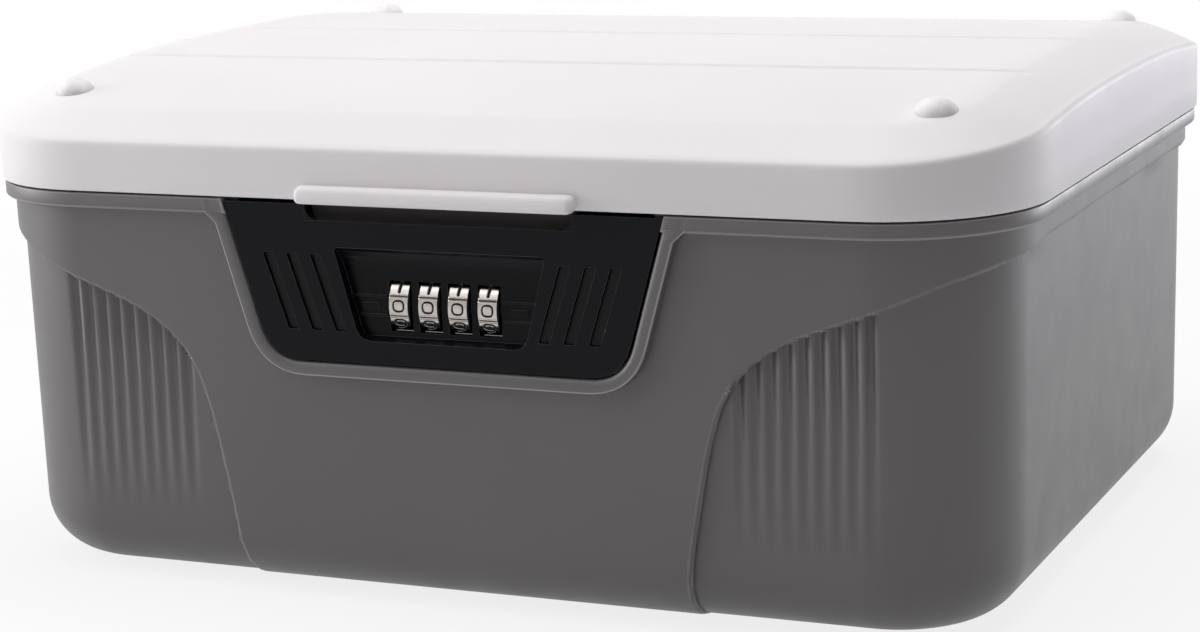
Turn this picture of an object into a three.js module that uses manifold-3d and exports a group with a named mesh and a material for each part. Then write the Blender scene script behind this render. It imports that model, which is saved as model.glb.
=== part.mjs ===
// Medication lock box: a moulded tub, a hinged lid and a four-dial code lock.
// Millimetres, +Z up, front face towards -Y. Heights are counted from the tub's underside.
import * as THREE from 'three';
import { mergeVertices } from 'three/addons/utils/BufferGeometryUtils.js';
import Module from 'manifold-3d';

const wasm = await Module();
wasm.setup();

// Outline that tub and lid share
const boxWidth = 300;
const boxDepth = 245.3;
const outlineRadius = 39.9;
const seamHeight = 107.6;
const seamGap = 0.6;

// Clearances: a running fit and a seated face. Joined forms run into each other by the merge
const fit = 0.35;
const seatGap = 0.3;
const merge = 0.5;
const edgeBreak = 0.5;

// Tub shell
const rimInset = 0.8;
const rimBand = 4.2;
const raisedInset = 3.4;
const recessInset = 5.3;
const tubDraft = 1.2;
const bottomRound = 17;
const tubWall = 2.4;
const tubFloor = 3;
const lipInset = 3.3;
const lipWall = 2.2;
const lipHeight = 5;
const raisedBand = 6.4;

// Raised front: its edge climbs from the foot, bends, and runs out under the rim
const raisedFootHalf = 65;
const raisedKneeHalf = 75;
const raisedKneeHeight = 57;
const raisedBendHalf = 96;
const raisedBendHeight = 77.3;
const raisedKneeSwing = 4;
const raisedKneeDrop = 7;

// Flutes in the recessed corners
const fluteCount = 9;
const flutePitch = 4.3;
const fluteFirst = 79.6;
const fluteRadius = 2.6;
const fluteDepth = 1.1;
const fluteFoot = 24;
const fluteTop = 84;

// Rubber feet
const footRadius = 7;
const footHeight = 2.3;
const footStand = 1.4;
const footInsetX = 45;
const footInsetY = 44.65;

// Lock fascia
const panelTopGap = 0.6;
const panelFootMargin = 6;
const panelHalfTop = 62.5;
const panelHalfBottom = 50.3;
const panelCorner = 9;
const panelSetback = 0.4;
const panelPlate = 2.4;
const plugDepth = 3.45;
const frameWidth = 4.3;
const ledgeWidth = 3;
const trayRise = 15.4;
const trayHalfTop = 30.2;
const trayHalfBottom = 23.8;
const trayDepth = 3.2;
const trayDish = 8.4;
const trayRamp = 0.9;
const trayFootCorner = 3.5;
const trayHeadCorner = 1.2;
const pillarDepth = 1.25;
const scoopHalf = 38.2;
const scoopHeight = 4.3;
const scoopDepth = 4.1;
const slotCount = 3;
const slotPitch = 7;
const slotWidth = 3.2;
const slotDepth = 1.7;
const slotOuterTop = 49.7;
const slotRise = 13.4;
const slotFall = 6.9;
const slotLean = 1.12;
const slotCorner = 0.5;
const markReach = 9.6;
const markSpread = 2.55;
const markRib = 0.6;
const markLift = 0.5;
const markBarWidth = 4.6;
const markBarHeight = 1.6;

// Dials
const dialCount = 4;
const dialPitch = 8.5;
const dialRadius = 9;
const dialWidth = 6;
const dialProud = 2.4;
const dialDrop = 26.6;
const dialGrooves = 10;
const dialGrooveDepth = 0.4;
const dialGrooveAngle = 0.055;
const windowGap = 0.3;
const windowRun = 0.45;
const shaftRadius = 2;
const sleeveBore = 2.3;
const sleeveNeck = 2.9;
const sleeveRadius = 4;
const starRadius = 5;
const starDepth = 0.2;
const starWidth = 1.1;
const starWall = 0.6;
const starDisc = 0.8;
const keyWidth = 1.2;
const keyHeight = 0.9;
const gateHalf = 1.8;
const gateFloor = 2.95;

// Lock housing behind the fascia
const housingWall = 1.8;
const housingClear = 0.6;
const housingFlange = 2;
const housingFlangeGrow = 3;
const housingDepth = 17.6;
const webWidth = 2;
const webDrop = 10;
const combSheet = 0.5;
const combWidth = 0.7;
const combRest = 1.4;
const bossRadius = 3.2;
const screwShank = 1.1;
const screwHead = 3;
const screwHeadHeight = 2;
const screwPilot = 9;
const driverSlot = 0.7;
const driverDepth = 0.9;
const bossUpperHalf = 45;
const bossUpperRise = 18.6;
const bossLowerHalf = 43;
const bossLowerFall = 4.8;

// Latch and its springs
const pivotBehindDial = 8.25;
const pivotAboveDial = 9.3;
const pinRadius = 1;
const barrelRadius = 2;
const fingerHeight = 1.2;
const fingerThickness = 0.6;
const fingerGap = 0.35;
const fingerRoot = 1.6;
const fingerDrop = 0.6;
const latchPlate = 2;
const noseHalf = 5;
const noseTop = 10.4;
const noseHeight = 3.2;
const noseReach = 5.1;
const springRadius = 1.35;
const springWire = 0.4;
const latchSpringTurns = 4;
const latchArmHalf = 0.8;
const latchArmWidth = 4.4;
const latchSpringX = 9.4;

// Code-change slide
const slideTravel = 3;
const slideHeight = 6;
const slidePlate = 1.8;
const slideMargin = 1.2;
const slideKnobWidth = 4;
const slideKnobHeight = 4;
const slideArmGap = 2.2;
const slideKnobReach = 3.2;
const shaftTail = 5;
const collarRadius = 3.2;
const collarWidth = 1;
const shaftSpringTurns = 3;

// Lid
const lidWall = 2.5;
const ridgeInset = 1.6;
const ridgeRound = 3;
const ridgeRise = 22.5;
const ridgeFall = 7.9;
const ridgePower = 2.4;
const crownRise = 6.3;
const crownFall = 11.3;
const crownPower = 3;
const archCentre = 3;
const bevelWidth = 15;
const bevelEase = 0.7;
const crownSteps = 11;
const grooveWidth = 4;
const grooveDepth = 1;
const groovePitch = 62;
const grooveCentre = 11;
const grooveCount = 3;
const tabHalf = 40;
const tabHeight = 4.2;
const tabReach = 4.05;
const tabDrop = 0.9;
const tabCorner = 1.4;
const lidRibDrop = 8;
const lidRibWidth = 1.6;
const lidRibInsetX = 88;
const lidRibInsetY = 77.65;
const padRadius = 6;
const padHeight = 3.8;
const padSeat = 2;
const padBossWall = 3;
const padInsetX = 25.5;
const padInsetY = 28.65;

// Strike
const strikeSheet = 1.5;
const strikeClear = 1.5;
const strikeHalf = 8;
const strikeFootHalf = 16;
const strikeFootDepth = 12;
const strikeBossRadius = 3.6;
const strikeFootHeight = 5.6;
const strikeBehindDial = 3.7;
const strikeBar = 3;
const strikeWindowHalf = 6;
const strikeScrewX = 11.5;
const strikeScrewLength = 8;

// Hinges
const knuckleRadius = 3.6;
const knuckleGap = 0.4;
const hingeInsetX = 65;
const knuckleOuter = 10;
const knuckleInner = 14;
const hingePinRadius = 1.5;

// Round pieces are drawn with this many sides
const roundSides = 20;
const smallSides = 12;
const beyond = 30;

// Places that follow from the sizes
const halfDepth = boxDepth / 2;
const rimUnder = seamHeight - rimBand;
const panelTop = seamHeight - panelTopGap;
const dialHeight = panelTop - dialDrop;
const panelBottom = dialHeight - dialRadius - panelFootMargin;
const trayTop = dialHeight + trayRise;
const trayBottom = dialHeight - dialRadius;
const slotTop = dialHeight + slotRise;
const slotBottom = dialHeight - slotFall;
const bossUpperHeight = dialHeight + bossUpperRise;
const bossLowerHeight = dialHeight - bossLowerFall;
const footX = boxWidth / 2 - footInsetX;
const footY = halfDepth - footInsetY;
const padX = boxWidth / 2 - padInsetX;
const padY = halfDepth - padInsetY;
const hingeX = boxWidth / 2 - hingeInsetX;
const lidRibX = boxWidth / 2 - lidRibInsetX;
const lidRibY = halfDepth - lidRibInsetY;
const rimFace = -(halfDepth - rimInset);
const panelFace = rimFace + panelSetback;
const panelBack = panelFace + panelPlate;
const ledgeFace = panelBack + seatGap;
const plugBack = panelBack + plugDepth;
const trayFloor = panelFace + trayDepth;
const pillarBack = trayFloor + pillarDepth;
const dialAxisY = trayFloor - dialProud + dialRadius;
const innerInset = recessInset + tubWall;
const innerFront = -(halfDepth - innerInset);
const housingFront = innerFront + tubDraft * (1 - panelBottom / rimUnder) + fit;
const housingBack = housingFront + housingFlange + housingDepth;
const housingInside = housingBack - housingWall;
const housingGrow = -ledgeWidth - housingClear;
const housingTop = seamHeight - 2 * edgeBreak;
const dialSpan = dialPitch * (dialCount - 1) / 2;
const combPlace = dialWidth / 2 + seatGap + combWidth / 2;
const fingerPlace = dialWidth / 2 + starWidth + seatGap;
const fingerWidth = dialPitch - fit - dialWidth / 2 - fingerPlace;
const sleeveEnd = dialPitch - dialWidth / 2 - fit;
const sleeveStart = -dialWidth / 2;
const leftWeb = -dialSpan + sleeveStart - fit;
const rightWeb = dialSpan + sleeveEnd + fit;
const latchY = dialAxisY + pivotBehindDial;
const latchZ = dialHeight + pivotAboveDial;
const latchSpringY = barrelRadius + fit + springRadius + springWire / 2;
const latchArm = latchSpringY + springRadius + springWire;
const hingeY = halfDepth + knuckleGap + knuckleRadius;
const hingeZ = seamHeight + seamGap / 2;
const lidBottom = seamHeight + seamGap;
const ridgePeak = lidBottom + ridgeRise;
const crownPeak = ridgePeak + crownRise;
const shaftEnd = rightWeb + webWidth + shaftTail + seatGap;
const dialPlaces = Array.from({ length: dialCount }, (_, index) => (index - (dialCount - 1) / 2) * dialPitch);

// Finishes
function finish(color, roughness, metalness = 0) {
  return new THREE.MeshStandardMaterial({ color, roughness, metalness });
}
const greyPlastic = finish(0x6b6868, 0.55);
const whitePlastic = finish(0xf0edf0, 0.4);
const blackPlastic = finish(0x1c1c20, 0.4);
const plainSteel = finish(0x9a9a9c, 0.35, 1);
const brightNickel = finish(0xd8d4d0, 0.15, 1);
const zincAlloy = finish(0x8e8c88, 0.5, 1);
const clearRubber = finish(0xe9e6e0, 0.5);
const darkRubber = finish(0x2a2a2c, 0.9);

// Solids: a closed geometry becomes a solid for joins and cuts, and comes back as a geometry
function solid(geometry) {
  const bare = geometry.clone();
  bare.deleteAttribute('normal');
  bare.deleteAttribute('uv');
  const merged = mergeVertices(bare, 1e-4);
  const vertProperties = new Float32Array(merged.getAttribute('position').array);
  const triVerts = new Uint32Array(merged.getIndex().array);
  return new wasm.Manifold(new wasm.Mesh({ numProp: 3, vertProperties, triVerts }));
}

function geometryOf(body) {
  const mesh = body.getMesh();
  const geometry = new THREE.BufferGeometry();
  geometry.setAttribute('position', new THREE.BufferAttribute(new Float32Array(mesh.vertProperties), 3));
  geometry.setIndex(new THREE.BufferAttribute(new Uint32Array(mesh.triVerts), 1));
  return geometry;
}

function join(...solids) {
  return solids.reduce((whole, piece) => whole.add(piece));
}

function cut(whole, ...cutters) {
  return cutters.reduce((rest, cutter) => rest.subtract(cutter), whole);
}

// A block between two opposite corners
function block([x0, y0, z0], [x1, y1, z1]) {
  const geometry = new THREE.BoxGeometry(x1 - x0, y1 - y0, z1 - z0);
  return solid(geometry.translate((x0 + x1) / 2, (y0 + y1) / 2, (z0 + z1) / 2));
}

// A rod from start to end along one axis, at a point on that axis
function rod(axis, radius, start, end, [x, y, z], sides = roundSides) {
  const geometry = new THREE.CylinderGeometry(radius, radius, end - start, sides);
  geometry.translate(0, (start + end) / 2, 0);
  if (axis === 'x') {
    geometry.rotateZ(-Math.PI / 2);
  }
  if (axis === 'z') {
    geometry.rotateX(Math.PI / 2);
  }
  return solid(geometry.translate(x, y, z));
}

// An outline in x and z, pushed from the back to the front
function frontPlate(shape, back, front, curveSegments = 6) {
  const depth = back - front;
  const geometry = new THREE.ExtrudeGeometry(shape, { depth, bevelEnabled: false, curveSegments });
  return solid(geometry.rotateX(Math.PI / 2).translate(0, back, 0));
}

// An outline in y and z, pushed from left to right
function sidePlate(shape, left, right, curveSegments = 6) {
  const depth = right - left;
  const geometry = new THREE.ExtrudeGeometry(shape, { depth, bevelEnabled: false, curveSegments });
  const turn = new THREE.Matrix4().makeBasis(
    new THREE.Vector3(0, 1, 0),
    new THREE.Vector3(0, 0, 1),
    new THREE.Vector3(1, 0, 0),
  );
  return solid(geometry.applyMatrix4(turn).translate(left, 0, 0));
}

// A closed outline through corners, each [across, up, length that the rounding takes]
function outline(corners) {
  const shape = new THREE.Shape();
  const towards = ([x, y], [toX, toY], length) => {
    const reach = Math.hypot(toX - x, toY - y);
    return [x + (toX - x) * length / reach, y + (toY - y) * length / reach];
  };
  corners.forEach((corner, index) => {
    const before = corners[(index + corners.length - 1) % corners.length];
    const after = corners[(index + 1) % corners.length];
    const arrive = towards(corner, before, corner[2]);
    const leave = towards(corner, after, corner[2]);
    if (index === 0) {
      shape.moveTo(...arrive);
    } else {
      shape.lineTo(...arrive);
    }
    if (corner[2] > 0) {
      shape.quadraticCurveTo(corner[0], corner[1], ...leave);
    }
  });
  shape.closePath();
  return shape;
}

// The shared outline, drawn inwards by an inset: points run counter-clockwise from the right side
function ringPoints(inset, cornerSteps, sideSteps) {
  const halfX = boxWidth / 2 - inset;
  const halfY = halfDepth - inset;
  const radius = Math.max(outlineRadius - inset, 0.8);
  const corners = [[1, 1, 0], [-1, 1, 1], [-1, -1, 2], [1, -1, 3]];
  const points = [];
  corners.forEach(([signX, signY, quarter]) => {
    for (let step = 0; step <= cornerSteps; step += 1) {
      const angle = (quarter + step / cornerSteps) * Math.PI / 2;
      points.push([
        signX * (halfX - radius) + radius * Math.cos(angle),
        signY * (halfY - radius) + radius * Math.sin(angle),
      ]);
    }
    if (quarter % 2 === 1) {
      for (let step = 1; step < sideSteps; step += 1) {
        const share = 1 - 2 * step / sideSteps;
        points.push([signX * halfX, signY * (halfY - radius) * share]);
      }
    }
  });
  return points;
}

// Corner 3 ends on the right side at its foot, so that side's extra points follow it
function loft(rings, cornerSteps = 8, sideSteps = 1) {
  const positions = [];
  const indices = [];
  let count = 0;
  rings.forEach(({ inset, height }) => {
    const points = ringPoints(inset, cornerSteps, sideSteps);
    count = points.length;
    points.forEach(([x, y]) => positions.push(x, y, typeof height === 'function' ? height(y) : height));
  });
  for (let ring = 0; ring + 1 < rings.length; ring += 1) {
    for (let point = 0; point < count; point += 1) {
      const next = (point + 1) % count;
      const [a, b] = [ring * count + point, ring * count + next];
      indices.push(a, b, b + count, a, b + count, a + count);
    }
  }
  const middle = (ring) => {
    const { height } = rings[ring];
    positions.push(0, 0, typeof height === 'function' ? height(0) : height);
    return positions.length / 3 - 1;
  };
  const lower = middle(0);
  const upper = middle(rings.length - 1);
  const last = (rings.length - 1) * count;
  for (let point = 0; point < count; point += 1) {
    const next = (point + 1) % count;
    indices.push(lower, next, point, upper, last + point, last + next);
  }
  const geometry = new THREE.BufferGeometry();
  geometry.setAttribute('position', new THREE.Float32BufferAttribute(positions, 3));
  geometry.setIndex(indices);
  return solid(geometry);
}

// The wire centre of a coil spring along +X or +Z
class Helix extends THREE.Curve {
  constructor(radius, length, turns, axis) {
    super();
    Object.assign(this, { radius, length, turns, axis });
  }

  getPoint(share, target = new THREE.Vector3()) {
    const angle = share * this.turns * Math.PI * 2;
    const across = this.radius * Math.cos(angle);
    const up = this.radius * Math.sin(angle);
    const along = share * this.length;
    return this.axis === 'z' ? target.set(across, up, along) : target.set(along, across, up);
  }
}

function coilSpring(radius, length, turns, axis) {
  const wire = new THREE.Shape().absarc(0, 0, springWire / 2, 0, Math.PI * 2);
  const extrudePath = new Helix(radius, length - springWire, turns, axis);
  return new THREE.ExtrudeGeometry(wire, { steps: turns * 7, curveSegments: 3, extrudePath });
}

// The fascia's trapezium, grown or shrunk on every side and closed at a given top
function panelOutline(grow, top = panelTop) {
  const lean = (panelHalfTop - panelHalfBottom) / (panelTop - panelBottom);
  const halfAt = (height) => panelHalfBottom + (height - panelBottom) * lean + grow * Math.hypot(1, lean);
  const foot = panelBottom - grow;
  const corner = Math.max(panelCorner + grow, 2);
  return outline([
    [-halfAt(foot), foot, corner],
    [halfAt(foot), foot, corner],
    [halfAt(top), top, 0],
    [-halfAt(top), top, 0],
  ]);
}

// Tub: a drafted shell with a rounded foot
function tubRings(inset) {
  const rings = [];
  const roundSteps = 5;
  const draftAt = (height) => tubDraft * (1 - height / rimUnder);
  for (let step = 0; step <= roundSteps; step += 1) {
    const angle = step / roundSteps * Math.PI / 2;
    const height = bottomRound * (1 - Math.sin(angle));
    rings.unshift({ inset: inset + draftAt(bottomRound) + bottomRound * (1 - Math.cos(angle)), height });
  }
  rings.push({ inset, height: rimUnder + merge });
  return rings;
}

function raisedZone() {
  const edge = boxWidth / 2;
  const top = rimUnder + beyond;
  const bandFoot = rimUnder - raisedBand;
  const swing = raisedKneeHalf + raisedKneeSwing;
  const drop = raisedBendHeight - raisedKneeDrop;
  const shape = new THREE.Shape();
  shape.moveTo(-raisedFootHalf, -beyond);
  shape.lineTo(raisedFootHalf, -beyond);
  shape.lineTo(raisedFootHalf, 0);
  shape.lineTo(raisedKneeHalf, raisedKneeHeight);
  shape.quadraticCurveTo(swing, drop, raisedBendHalf, raisedBendHeight);
  shape.lineTo(edge - raisedInset, bandFoot);
  shape.lineTo(edge + beyond, bandFoot);
  shape.lineTo(edge + beyond, top);
  shape.lineTo(-edge - beyond, top);
  shape.lineTo(-edge - beyond, bandFoot);
  shape.lineTo(-edge + raisedInset, bandFoot);
  shape.lineTo(-raisedBendHalf, raisedBendHeight);
  shape.quadraticCurveTo(-swing, drop, -raisedKneeHalf, raisedKneeHeight);
  shape.lineTo(-raisedFootHalf, 0);
  shape.closePath();
  const front = frontPlate(shape, 0, -halfDepth - beyond, 5);
  const rear = block([-edge - beyond, 0, bandFoot], [edge + beyond, halfDepth + beyond, top]);
  return join(front, rear);
}

function flutes() {
  const surfaceAt = (height) => -(halfDepth - recessInset - tubDraft * (1 - height / rimUnder));
  const footLine = surfaceAt(fluteFoot);
  const topLine = surfaceAt(fluteTop) + fluteDepth;
  const tilt = Math.atan2(topLine - footLine, fluteTop - fluteFoot);
  const cutters = [];
  for (let index = 0; index < fluteCount; index += 1) {
    [-1, 1].forEach((side) => {
      const geometry = new THREE.CylinderGeometry(fluteRadius, fluteRadius, rimUnder, smallSides);
      geometry.rotateX(Math.PI / 2).translate(0, -fluteRadius, rimUnder / 2 - fluteFoot).rotateX(-tilt);
      geometry.translate(side * (fluteFirst + index * flutePitch), footLine, fluteFoot);
      cutters.push(solid(geometry));
    });
  }
  return join(...cutters);
}

function tubCavity() {
  const inner = bottomRound - tubWall;
  const roundSteps = 4;
  const draft = tubDraft * (1 - bottomRound / rimUnder);
  const rings = [];
  for (let step = 0; step <= roundSteps; step += 1) {
    const angle = step / roundSteps * Math.PI / 2;
    const height = tubFloor + inner * (1 - Math.sin(angle));
    rings.unshift({ inset: innerInset + draft + inner * (1 - Math.cos(angle)), height });
  }
  rings.push({ inset: innerInset, height: rimUnder });
  rings.push({ inset: lipInset + lipWall, height: seamHeight });
  rings.push({ inset: lipInset + lipWall, height: seamHeight + lipHeight + merge });
  return loft(rings, 6);
}

// One side's knuckle with the arm that carries it, up or down from the hinge line
function knuckle(left, right, side) {
  const arm = side > 0
    ? block([left, halfDepth - merge, hingeZ + seamGap], [right, hingeY, hingeZ + knuckleRadius])
    : block([left, halfDepth - recessInset - merge, hingeZ - knuckleRadius],
      [right, hingeY, seamHeight - seamGap / 2]);
  return join(rod('x', knuckleRadius, left, right, [0, hingeY, hingeZ]), arm);
}

function makeTub() {
  const recess = cut(loft(tubRings(recessInset)), flutes());
  const raised = loft(tubRings(raisedInset)).intersect(raisedZone());
  const rim = loft([
    { inset: rimInset + edgeBreak, height: rimUnder },
    { inset: rimInset, height: rimUnder + edgeBreak },
    { inset: rimInset, height: seamHeight - edgeBreak },
    { inset: rimInset + edgeBreak, height: seamHeight },
  ]);
  const lip = loft([
    { inset: lipInset, height: rimUnder },
    { inset: lipInset, height: seamHeight + lipHeight - edgeBreak },
    { inset: lipInset + edgeBreak, height: seamHeight + lipHeight },
  ]);
  const lockFrame = frontPlate(panelOutline(frameWidth, seamHeight), innerFront - merge, rimFace);
  let tub = join(recess, raised, rim, lip, lockFrame);
  tub = cut(tub, tubCavity());
  const above = seamHeight + beyond;
  const pocket = frontPlate(panelOutline(fit, above), ledgeFace, -halfDepth - beyond);
  const notch = frontPlate(panelOutline(-ledgeWidth, above), innerFront + beyond, -halfDepth - beyond);
  tub = cut(tub, pocket, notch);
  [-1, 1].forEach((hinge) => {
    const centre = hinge * hingeX;
    const inner = knuckleInner / 2 + knuckleGap;
    tub = join(tub, knuckle(centre - inner - knuckleOuter, centre - inner, -1));
    tub = join(tub, knuckle(centre + inner, centre + inner + knuckleOuter, -1));
  });
  const pinHole = rod('x', hingePinRadius + seatGap, -boxWidth, boxWidth, [0, hingeY, hingeZ], smallSides);
  const footSeats = footPlaces().map(([x, y]) =>
    rod('z', footRadius + seatGap, -beyond, footHeight - footStand + seatGap, [x, y, 0]));
  return cut(tub, pinHole, ...footSeats);
}

function footPlaces() {
  return [[-footX, -footY], [footX, -footY], [footX, footY], [-footX, footY]];
}

// Fascia: plate and plug with tray, windows, slots, scoop, marks and screw bosses
function trayCutter() {
  const sides = frontPlate(outline([
    [-trayHalfBottom, trayBottom, trayFootCorner],
    [trayHalfBottom, trayBottom, trayFootCorner],
    [trayHalfTop, trayTop, trayHeadCorner],
    [-trayHalfTop, trayTop, trayHeadCorner],
  ]), plugBack, panelFace - beyond, 3);
  const profile = new THREE.Shape();
  const outside = panelFace - merge;
  profile.moveTo(outside, trayBottom);
  profile.lineTo(panelFace, trayBottom);
  profile.lineTo(trayFloor, trayBottom + trayRamp);
  profile.lineTo(trayFloor, trayTop - trayDish);
  profile.quadraticCurveTo(trayFloor, trayTop - trayDish / 4, panelFace, trayTop);
  profile.lineTo(outside, trayTop);
  profile.closePath();
  return sidePlate(profile, -trayHalfTop - merge, trayHalfTop + merge, 5).intersect(sides);
}

function slotCutters() {
  const lean = (panelHalfTop - panelHalfBottom) / (panelTop - panelBottom);
  const drift = (slotTop - slotBottom) * lean * slotLean;
  const cutters = [];
  for (let index = 0; index < slotCount; index += 1) {
    [-1, 1].forEach((side) => {
      const top = side * (slotOuterTop - index * slotPitch);
      const foot = top - side * drift;
      cutters.push(frontPlate(outline([
        [foot - slotWidth / 2, slotBottom, slotCorner],
        [foot + slotWidth / 2, slotBottom, slotCorner],
        [top + slotWidth / 2, slotTop, slotCorner],
        [top - slotWidth / 2, slotTop, slotCorner],
      ]), panelFace + slotDepth, panelFace - merge, 2));
    });
  }
  return cutters;
}

function windowCutters() {
  const half = dialWidth / 2 + windowGap;
  const axis = [0, dialAxisY, dialHeight];
  return dialPlaces.map((x) => rod('x', dialRadius + windowRun, x - half, x + half, axis, roundSides + 4));
}

function scoopCutter() {
  const foot = panelTop - scoopHeight;
  const back = panelFace + scoopDepth;
  const profile = new THREE.Shape();
  profile.moveTo(panelFace - merge, foot);
  profile.lineTo(panelFace, foot);
  profile.quadraticCurveTo(back, foot, back, panelTop - merge);
  profile.lineTo(back, panelTop + merge);
  profile.lineTo(panelFace - merge, panelTop + merge);
  profile.closePath();
  return sidePlate(profile, -scoopHalf, scoopHalf, 4);
}

function indexMarks() {
  const inner = dialSpan + dialWidth / 2 + windowGap + markRib;
  const face = trayFloor - markLift;
  const marks = [];
  [-1, 1].forEach((side) => {
    [-1, 1].forEach((row) => {
      const height = dialHeight + row * markSpread;
      const reach = inner + markReach + row;
      const [left, right] = side > 0 ? [inner, reach] : [-reach, -inner];
      marks.push(block([left, face, height - markRib / 2], [right, pillarBack, height + markRib / 2]));
    });
    const centre = side * (inner + markReach / 2);
    const half = markBarWidth / 2;
    const rise = markBarHeight / 2;
    marks.push(block([centre - half, face, dialHeight - rise],
      [centre + half, pillarBack, dialHeight + rise]));
  });
  return marks;
}

function bossPlaces() {
  return [
    [-bossLowerHalf, bossLowerHeight],
    [bossLowerHalf, bossLowerHeight],
    [bossUpperHalf, bossUpperHeight],
    [-bossUpperHalf, bossUpperHeight],
  ];
}

function makeBezel() {
  const plate = frontPlate(panelOutline(0), panelBack, panelFace);
  const plug = frontPlate(panelOutline(-ledgeWidth - fit), plugBack, panelBack - merge);
  const bosses = bossPlaces().map(([x, z]) =>
    rod('y', bossRadius, plugBack - merge, housingInside - seatGap, [x, 0, z], smallSides));
  const pilots = bossPlaces().map(([x, z]) =>
    rod('y', screwShank + seatGap, housingInside - screwPilot, housingInside, [x, 0, z], 8));
  const relief = block(
    [leftWeb, pillarBack, dialHeight - dialRadius - windowRun],
    [rightWeb, plugBack + merge, dialHeight + dialRadius + windowRun],
  );
  const body = cut(join(plate, plug, ...bosses), trayCutter());
  const marked = join(body, ...indexMarks());
  return cut(marked, ...slotCutters(), ...windowCutters(), scoopCutter(), relief, ...pilots);
}

// Housing: a flanged box with webs for shaft and latch pin, spring seats and a strike slot
function makeHousing() {
  const flangeBack = housingFront + housingFlange;
  const flange = frontPlate(panelOutline(housingFlangeGrow, housingTop), flangeBack, housingFront);
  const box = frontPlate(panelOutline(housingGrow, housingTop), housingBack, flangeBack - merge);
  const hollow = frontPlate(
    panelOutline(housingGrow - housingWall, housingTop - housingWall),
    housingInside,
    housingFront - merge,
  );
  const webShape = outline([
    [plugBack + fit, dialHeight - webDrop, 0],
    [housingInside + merge, dialHeight - webDrop, 0],
    [housingInside + merge, latchZ + webDrop / 2, 0],
    [latchY - webDrop / 2, latchZ + webDrop / 2, 2],
    [plugBack + fit, dialHeight + webDrop / 2, 2],
  ]);
  const webs = [leftWeb - webWidth, rightWeb].map((x) => sidePlate(webShape, x, x + webWidth, 2));
  const shelfTop = latchZ - pivotAboveDial;
  const shelfHalf = springRadius + springWire + 2 * merge;
  const shelves = [-1, 1].map((side) => block(
    [side * latchSpringX - shelfHalf, latchY + latchSpringY - shelfHalf, shelfTop - strikeSheet],
    [side * latchSpringX + shelfHalf, housingInside + merge, shelfTop],
  ));
  const shaftHole = rod('x', shaftRadius + seatGap, -boxWidth, boxWidth,
    [0, dialAxisY, dialHeight], smallSides);
  const pinHole = rod('x', pinRadius + seatGap, -boxWidth, boxWidth, [0, latchY, latchZ], smallSides);
  const drilled = cut(join(...webs), shaftHole, pinHole);
  const strikeFront = dialAxisY + strikeBehindDial - strikeSheet;
  const strikeSlot = block(
    [-strikeHalf - strikeClear, strikeFront - strikeClear, housingTop - housingWall - merge],
    [strikeHalf + strikeClear, strikeFront + strikeSheet + strikeClear, housingTop + merge],
  );
  const knobLeft = slideKnobLeft();
  const knobSlot = block(
    [knobLeft - fit, housingInside - merge, dialHeight - slideKnobHeight / 2 - fit],
    [knobLeft + slideKnobWidth + slideTravel + fit, housingBack + merge,
      dialHeight + slideKnobHeight / 2 + fit],
  );
  const screwHoles = bossPlaces().map(([x, z]) =>
    rod('y', screwShank + fit, housingInside - merge, housingBack + merge, [x, 0, z], 8));
  const shell = cut(join(flange, box), hollow);
  return cut(join(shell, drilled, ...shelves), strikeSlot, knobSlot, ...screwHoles);
}

function slideKnobLeft() {
  return shaftEnd + fit + slidePlate + slideArmGap;
}

// Dial: a wheel with a pair of fine grooves between its ten figures, and a keyway in its bore
function dialOutline() {
  const shape = new THREE.Shape();
  const share = Math.PI * 2 / dialGrooves;
  const groove = dialGrooveAngle;
  for (let index = 0; index < dialGrooves; index += 1) {
    const middle = (index + 0.5) * share;
    const points = [
      [dialRadius, middle - share * 0.7], [dialRadius, middle - share * 0.3],
      [dialRadius, middle - groove * 2], [dialRadius - dialGrooveDepth, middle - groove],
      [dialRadius, middle], [dialRadius - dialGrooveDepth, middle + groove],
      [dialRadius, middle + groove * 2],
    ];
    points.forEach(([radius, angle], step) => {
      const [x, y] = [radius * Math.cos(angle), radius * Math.sin(angle)];
      if (index === 0 && step === 0) {
        shape.moveTo(x, y);
      } else {
        shape.lineTo(x, y);
      }
    });
  }
  shape.closePath();
  return shape;
}

function makeWheel() {
  const wheel = sidePlate(dialOutline(), -dialWidth / 2, dialWidth / 2);
  const bore = rod('x', sleeveRadius + fit, -dialWidth, dialWidth, [0, 0, 0], smallSides);
  const key = keyWidth / 2 + fit;
  const keyway = block([-dialWidth, -key, 0], [dialWidth, key, sleeveRadius + keyHeight + fit]);
  const recess = rod('x', starRadius + fit, dialWidth / 2 - starDisc - fit, dialWidth, [0, 0, 0], smallSides);
  return cut(wheel, bore, keyway, recess);
}

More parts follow.
